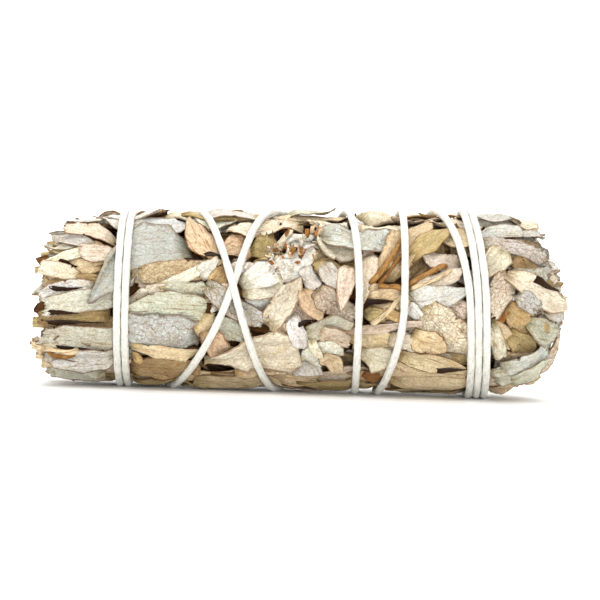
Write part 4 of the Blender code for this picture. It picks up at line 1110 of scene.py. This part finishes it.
def build_leaves():
    """Leaves of the outside: a dark under layer all round, a ring of leaves at each end and a shaded layer, all
    three darkened as painted shade, long leaves underneath, those seen at the front, those of the hidden sides,
    one along the top, and crumbs."""
    bundle = Bundle(SEED)
    rng = bundle.rng
    plain = ["broad", "broad", "folded", "torn", "pointed", "ridged"]
    # Painted shade: the under layer is darkened to 0.42 so the depths between the outer leaves look shaded.
    for _ in range(DEEP_LEAVES):
        entry = random_leaf(rng, (-46, 46), (-180, 180), (12, 20), (6, 9), plain, ["deep"], -48.5)
        bundle.leaf(entry, rows=8, columns=5, sink=0.4, age=0.9, shade=0.42)
    # Painted shade: the end rings are darkened to 0.6 so the depths between the leaves at the ends look shaded.
    for angle in range(-180, 180, 20):
        across = abs(math.sin(math.radians(angle - 8)))
        for start, end, inwards, kinds in (
            (-38, -51.3 + 4.2 * across**3, 1, ["broad", "torn", "boat"]),
            (36, 51.8 - 7.0 * across**1.3, -1, ["pointed", "broad"]),
        ):
            turned = angle + rng.uniform(-8, 8)
            entry = (start, turned, end + rng.uniform(0, 1.8) * inwards, turned, rng.uniform(5, 7),
                     pick(rng, kinds), pick(rng, ["tan", "sage", "green", "cream"]))
            bundle.leaf(entry, rows=12, columns=7, sink=0.8, age=0.7, shade=0.6)
    # Painted shade: this second layer is darkened to 0.5 where it shows between the outer leaves.
    for _ in range(SHADED_LEAVES):
        entry = random_leaf(rng, (-50, 46), (-60, 250), (9, 17), (3.5, 7), plain + ["netted", "oblong"],
                            ["tan", "sage", "brown", "olive", "pink", "ochre", "lilac"])
        bundle.leaf(entry, rows=11, columns=7, sink=0.6, age=0.7, shade=0.50)
    # Painted light: these leaves of the underside are lifted a little, to 1.05, where the lamps reach least.
    for start in range(-48, 40, 8):
        for angle in (-100, -86, -72, -58):
            entry = (start + rng.uniform(-3, 3), angle + rng.uniform(-5, 5), start + rng.uniform(15, 19),
                     angle + rng.uniform(-5, 5), rng.uniform(5, 7.5),
                     pick(rng, ["broad", "torn", "folded"]), pick(rng, ["tan", "olive", "pink", "ochre"]))
            bundle.leaf(entry, rows=14, columns=7, sink=0.8, age=0.4, shade=1.05)
    for entry in LEFT_LEAVES + RIGHT_LEAVES + LEFT_MIDDLE_LEAVES + RIGHT_MIDDLE_LEAVES:
        bundle.leaf(entry, rows=30, columns=17, sink=1.2, stiff=8)
    hidden = plain + ["netted", "net_fold", "oblong", "rolled", "tube", "smooth", "edged", "strip"]
    tones = ["sage", "white", "cream", "tan", "tan", "peach", "pink", "lilac", "green", "green", "ochre",
             "olive"]
    for _ in range(HIDDEN_LEAVES):
        entry = random_leaf(rng, (-47, 47), (78, 274), (8, 17), (3.5, 9), hidden, tones)
        bundle.leaf(entry, rows=20, columns=11, sink=1.1)
    for entry in TOP_LEAVES:
        bundle.leaf(entry, rows=20, columns=11, sink=1.2)
    for _ in range(CRUMBS):
        x, angle, turn = rng.uniform(-48, 48), rng.uniform(100, 260), rng.uniform(0, 2 * np.pi)
        size = rng.uniform(1.2, 3.2)
        entry = (x, angle, x + size * math.cos(turn), angle + size * 3.2 * math.sin(turn),
                 rng.uniform(0.7, 1.8), "crumb", pick(rng, ["ochre", "tan", "tan", "cream", "olive"]))
        bundle.leaf(entry, rows=7, columns=5, sink=0.2, stiff=2)
    bundle.settle()
    return bundle


def dress_stems(bundle, leaf, inner):
    """Make each outer leafy stem's piece and put it in place of its solid."""
    for index, name in enumerate(STEM_NAMES):
        piece = bundle.sheaves[index].make("sage_" + name[11:], [leaf])
        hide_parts(name)
        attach(piece, "root")
    core = packed_core()
    core.data.materials.append(inner)
    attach(core, "root")


def packed_core():
    """Crumbled leaf under the outer leaves: the bundle's surface, 4.7 mm down, bumpy, closed at both ends."""
    run = np.linspace(RUN[0] + 6.5, RUN[-1] - 7.0, 110)[:, None]
    angle = np.linspace(0, 360, 96, endpoint=False)[None, :]
    rng = np.random.default_rng(CORE_SEED)
    bumps = 0.35 * np.sin(run * 1.9 + angle * 0.11) + 0.3 * np.sin(run * 0.7 - angle * 0.23)
    depth = -4.7 + bumps + rng.uniform(-0.15, 0.15, (run.shape[0], angle.shape[1]))
    grid = place(run, angle, depth)
    start = point(np.full((1, 1), -45.5), angle, np.full((1, 1), 0.3))
    end = point(np.full((1, 1), 45.0), angle, np.full((1, 1), 0.3))
    grid = np.concatenate([start, grid, end])
    sheaf = Sheaf()
    faces = grid_faces(grid.shape[0], grid.shape[1], wrap=True)
    points = grid.reshape(-1, 3)
    sheaf.add(points, faces, np.zeros(len(faces), bool), (1, 1, 1, 1), (0, 0, 0, 1), (0, 0, 0, 1), (0, 0))
    return sheaf.make("packed_leaf", [])


# Inner leaves and stems that show at the two ends

def inner_leaf(sheaf, bundle, x0, x1, distances, angle, width, kind, tone, shade=0.9):
    """Leaf lying along the bundle inside it, at its own distance from the axis."""
    rng = bundle.rng
    u, v, along, side, up, flat = leaf_grid(rng, abs(x1 - x0), width, kind, rows=10, columns=7)
    x = x0 + (x1 - x0) * along / abs(x1 - x0)
    distance = np.maximum(distances[0] + (distances[1] - distances[0]) * u**2 + up, 0.2)
    turn = angle + np.degrees(side / np.maximum(distance, 2.0))
    middle = point(x, turn, distance)
    outward = point(x, turn, distance + 0.5) - middle
    middle, normal, u, v, flat, along = turned_out(middle, outward, u, v, flat, along)
    points = both_sides(middle, normal * (LEAF_THICK / 2 * MM))
    bundle.colour_and_add(sheaf, points, u, v, flat, along, tone, kind, rng.uniform(0.2, 0.8), shade)


def build_middle(bundle, leaf):
    """Leaves of the middle stem and the inner leaves of the others: cut edges at one end, tips at the other."""
    sheaf = Sheaf()
    rng = bundle.rng
    tones = ["tan", "sage", "green", "cream", "olive", "ochre", "lilac", "brown"]
    for k in range(CUT_LEAVES):
        distance = INNER_REACH * math.sqrt((k + 0.5) / CUT_LEAVES)
        angle = TURN_TO_NEXT * k + rng.uniform(-10, 10)
        slope = 3.6 * abs(math.sin(math.radians(angle))) ** 3 * distance / INNER_REACH
        cut = -48.9 - rng.uniform(0, 2.0) + slope
        width = min(rng.uniform(3.0, 7.5), 1.2 + distance * 1.1)
        kind = pick(rng, ["boat", "torn", "folded", "tube", "broad"])
        inner_leaf(sheaf, bundle, cut + rng.uniform(8, 13), cut, (distance - 0.4, distance), angle, width,
                   kind, pick(rng, tones))
    for k in range(TIP_LEAVES):
        share = (k + 0.5) / TIP_LEAVES
        start = 15.0 * math.sqrt(share)
        angle = TURN_TO_NEXT * k + rng.uniform(-10, 10)
        tip = 51.0 - 4.4 * share**1.2 - rng.uniform(0, 1.2)
        inner_leaf(sheaf, bundle, tip - rng.uniform(9, 13), tip, (start, start * 0.80), angle,
                   rng.uniform(4.0, 7.0), pick(rng, ["oblong", "smooth", "smooth", "cup"]),
                   pick(rng, tones[:7]), shade=0.98)
    piece = sheaf.make("sage_middle", [leaf])
    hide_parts("leafy_stem_middle")
    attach(piece, "root")


def tube_points(centre, outward, radius, sides, shape=None):
    """Rings round a path: centre plus radius times (cos outward + sin sideways), for each angle of the ring."""
    along = np.gradient(centre, axis=0)
    along /= np.linalg.norm(along, axis=1, keepdims=True)
    outward = outward - along * (outward * along).sum(axis=1, keepdims=True)
    outward /= np.linalg.norm(outward, axis=1, keepdims=True)
    sideways = np.cross(along, outward)
    turn = 2 * np.pi * np.arange(sides) / sides
    ring = outward[:, None] * np.cos(turn)[None, :, None] + sideways[:, None] * np.sin(turn)[None, :, None]
    size = np.broadcast_to(radius, (len(centre),))[:, None] * (1 if shape is None else shape)
    return centre[:, None] + ring * (size * MM)[..., None]


def add_tube(sheaf, centre, outward, radius, sides, tone, shape=None, round_ends=True):
    """Closed tube along a path, its ends drawn together to a point."""
    rings = tube_points(centre, outward, radius, sides, shape)
    ends = [np.repeat(rings[k].mean(axis=0)[None, None], sides, axis=1) for k in (0, -1)]
    if round_ends:
        inner = [ends[k] + (rings[[0, -1][k]][None] - ends[k]) * 0.7 for k in (0, 1)]
        rings = np.concatenate([ends[0], inner[0], rings, inner[1], ends[1]])
    else:
        rings = np.concatenate([ends[0], rings, ends[1]])
    rows = rings.shape[0]
    length = np.concatenate([[0], np.cumsum(np.linalg.norm(np.diff(rings.mean(axis=1), axis=0), axis=1))]) / MM
    round_it = np.linspace(0, 1, sides, endpoint=False)
    uv = np.stack(np.broadcast_arrays(length[:, None], round_it[None, :]), -1).reshape(-1, 2)
    faces = grid_faces(rows, sides, wrap=True)[:, ::-1]
    sheaf.add(rings.reshape(-1, 3), faces, np.zeros(len(faces), bool), tone, (0, 0.5, 0.5, 1), (0, 0, 0, 1), uv)


def build_stems(bundle, bark):
    """Bare woody stems: those seen at the front, and cut ends at the flat end of the bundle."""
    sheaf = Sheaf()
    rng = bundle.rng
    for places, radius, tone in FRONT_STEMS:
        t, x, angle = curve_through(places, 22)
        run = np.interp(x, RUN_X, RUN)
        height = bundle.settled(run, angle)
        height = np.max([np.roll(height, k) for k in (-1, 0, 1)], axis=0)
        height = np.convolve(np.pad(height, 3, mode="edge"), np.ones(7) / 7, mode="valid") + radius * 0.7
        dip = np.abs(np.linspace(-1, 1, len(t))) ** 8
        centre = place(run, angle, height - 1.0 * dip)
        outward = place(run, angle, height + 1.0) - centre
        uneven = 1 + 0.12 * np.sin(t * 4.0 + 1.3)
        add_tube(sheaf, centre, outward, radius * uneven, 10, np.array(rgb(*TONES[tone])))
    for k in range(CUT_STEMS):
        distance = INNER_REACH * math.sqrt((k + 0.5) / CUT_STEMS)
        angle = TURN_TO_NEXT * k + 40
        x = np.linspace(-52.3 + rng.uniform(0, 1.2), -38.0, 10)
        centre = point(x, angle + 0 * x, distance + 0.15 * np.sin(x))
        outward = point(x, angle + 0 * x, distance + 1.0) - centre
        tone = np.array(rgb(*TONES[pick(rng, ["brown", "tan", "olive"])]))
        add_tube(sheaf, centre, outward, rng.uniform(0.45, 1.15), 10, tone, round_ends=False)
    piece = sheaf.make("woody_stems", [bark])
    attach(piece, "root")


def build_buds(bundle, leaf):
    """Dried flower heads: clusters of split calyx bits, each a small pointed boat that stands out of its place
    in its own direction."""
    sheaf = Sheaf()
    rng = bundle.rng
    for k, (x, angle) in enumerate(BUD_PLACES * BUD_ROUNDS):
        x, angle = x + rng.normal(0, 0.5), angle + rng.normal(0, 1.8)
        run = float(np.interp(x, RUN_X, RUN))
        floor = float(bundle.settled(np.array(run), np.array(angle)))
        base = place(run, angle, floor + rng.uniform(-0.5, 0.5))
        up = (place(run, angle, 1.0) - place(run, angle, 0.0)) / MM
        axis = up * rng.uniform(0.3, 1.1) + np.array([rng.normal(0, 0.8), 0.0, rng.normal(0, 0.7)])
        axis /= np.linalg.norm(axis)
        first = np.cross(axis, rng.normal(0, 1, 3))
        first /= np.linalg.norm(first)
        second = np.cross(axis, first)
        size = rng.uniform(0.9, 2.1)
        u, v, along, side, up_off, flat = leaf_grid(rng, size, size * rng.uniform(0.35, 0.6), "boat", 8, 5)
        shift = axis * along[..., None] + first * side[..., None] + second * up_off[..., None] * 1.6
        grid = base + shift * MM
        points = both_sides(grid, surface_normals(grid) * 0.10 * MM)
        tone = ["orange", "cream", "peach", "white", "stem", "cream", "white"][k % 7]
        bundle.colour_and_add(sheaf, points, u, v, flat, along, tone, "broad", 0.2, rng.uniform(0.9, 1.2))
    piece = sheaf.make("flower_buds", [leaf])
    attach(piece, "root")


# The string

def even_path(x, angle, distance, spacing):
    """Points and outward directions at even steps along a path round the bundle."""
    centre = point(x, angle, distance)
    outward = point(x, angle, distance + 1.0) - centre
    length = np.concatenate([[0], np.cumsum(np.linalg.norm(np.diff(centre, axis=0), axis=1))]) / MM
    wanted = np.arange(0, length[-1], spacing)
    even = [np.interp(wanted, length, values[:, k]) for values in (centre, outward) for k in range(3)]
    return np.stack(even[:3], -1), np.stack(even[3:], -1), wanted


def yarn(sheaf, centre, outward, run, radius, sides=22):
    """Soft yarn whose plies wind slowly: radius 1 + 0.035 cos(plies (a - 2 pi run / pitch))."""
    turn = 2 * np.pi * np.arange(sides) / sides
    plies = np.cos(PLIES * (turn[None, :] - 2 * np.pi * run[:, None] / PLY_PITCH))
    uneven = 0.025 * np.sin(run * 0.9) + 0.02 * np.sin(run * 2.3 + 1)
    shape = 1 + 0.035 * plies + uneven[:, None] + np.random.default_rng(YARN_SEED).normal(0, 0.005, plies.shape)
    add_tube(sheaf, centre, outward, radius, sides, (1, 1, 1, 1), shape)


def build_string(cotton):
    """The whole string: its turns, the knot and the two loose ends."""
    sheaf = Sheaf()
    centre, outward, run = even_path(*string_path(), 0.62)
    yarn(sheaf, centre, outward, run, STRING_RADIUS)
    for tail in STRING_TAILS:
        tail_centre, tail_outward, tail_run = even_path(*tail_path(tail), 0.5)
        yarn(sheaf, tail_centre, tail_outward, tail_run, STRING_RADIUS * 0.96)
    add_knot(sheaf)
    piece = sheaf.make("string", [cotton])
    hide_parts("cotton_string")
    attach(piece, "root")
    build_fuzz(centre, outward, cotton)


def add_knot(sheaf):
    """Overhand knot: the curve (sin t + 2 sin 2t, cos t - 2 cos 2t, -sin 3t), flattened on the leaves."""
    t = np.linspace(0, 2 * np.pi, 90)
    side = np.sin(t) + 2 * np.sin(2 * t)
    upward = np.cos(t) - 2 * np.cos(2 * t)
    out = -np.sin(3 * t)
    x = KNOT_X + 0.62 * side
    angle = KNOT_ANGLE + np.degrees(0.55 * upward / STRING_R_MIDDLE)
    distance = string_reach(x) - 0.35 + 0.62 * out
    centre, outward, run = even_path(x, angle, distance, 0.35)
    yarn(sheaf, centre, outward, run, STRING_RADIUS * 0.85, 16)


def build_fuzz(centre, outward, cotton):
    """Stray fibres on the string: thin three-sided hairs that start on it and bend away."""
    rng = np.random.default_rng(FUZZ_SEED)
    sheaf = Sheaf()
    for _ in range(FIBRES):
        k = int(rng.integers(4, len(centre) - 4))
        along = centre[k + 1] - centre[k - 1]
        along /= np.linalg.norm(along)
        out = outward[k] / np.linalg.norm(outward[k])
        side = np.cross(along, out)
        turn = rng.uniform(-1.9, 1.9)
        away = out * math.cos(turn) + side * math.sin(turn)
        t = np.linspace(0, 1, 5)[:, None]
        length = rng.uniform(0.5, 1.5) * MM
        heading = along * rng.choice([-1, 1]) * rng.uniform(0.5, 1.0) + away * rng.uniform(0.15, 0.6)
        path = centre[k] + away * STRING_RADIUS * 0.94 * MM + heading * length * t - away * length * 0.3 * t**2
        add_tube(sheaf, path, np.repeat(away[None], 5, axis=0), 0.016 * (1.2 - t[:, 0]), 3, (1, 1, 1, 1),
                 round_ends=False)
    piece = sheaf.make("string_fuzz", [cotton])
    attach(piece, "root")


def build_floor():
    """White table that curves up far behind the bundle: flat, then a quarter circle, then upright."""
    turn = np.linspace(0, np.pi / 2, 17)
    depth = np.concatenate([[-1.5], 0.5 + 0.6 * np.sin(turn), [1.1]])
    height = np.concatenate([[0.0], 0.6 - 0.6 * np.cos(turn), [2.2]])
    side = np.array([-2.0, 2.0])
    grid = np.stack(np.broadcast_arrays(side[None, :], depth[:, None], height[:, None]), -1)
    mesh = bpy.data.meshes.new("table")
    mesh.from_pydata(grid.reshape(-1, 3).tolist(), [], grid_faces(len(depth), 2).tolist())
    mesh.polygons.foreach_set("use_smooth", [True] * len(mesh.polygons))
    mesh.materials.append(floor_material())
    table = bpy.data.objects.new("table", mesh)
    bpy.context.scene.collection.objects.link(table)


set_view()
set_light()
build_floor()
leaf = leaf_material()
bundle = build_leaves()
build_stems(bundle, bark_material())
build_buds(bundle, leaf)
dress_stems(bundle, leaf, inner_material())
build_middle(bundle, leaf)
build_string(cotton_material())
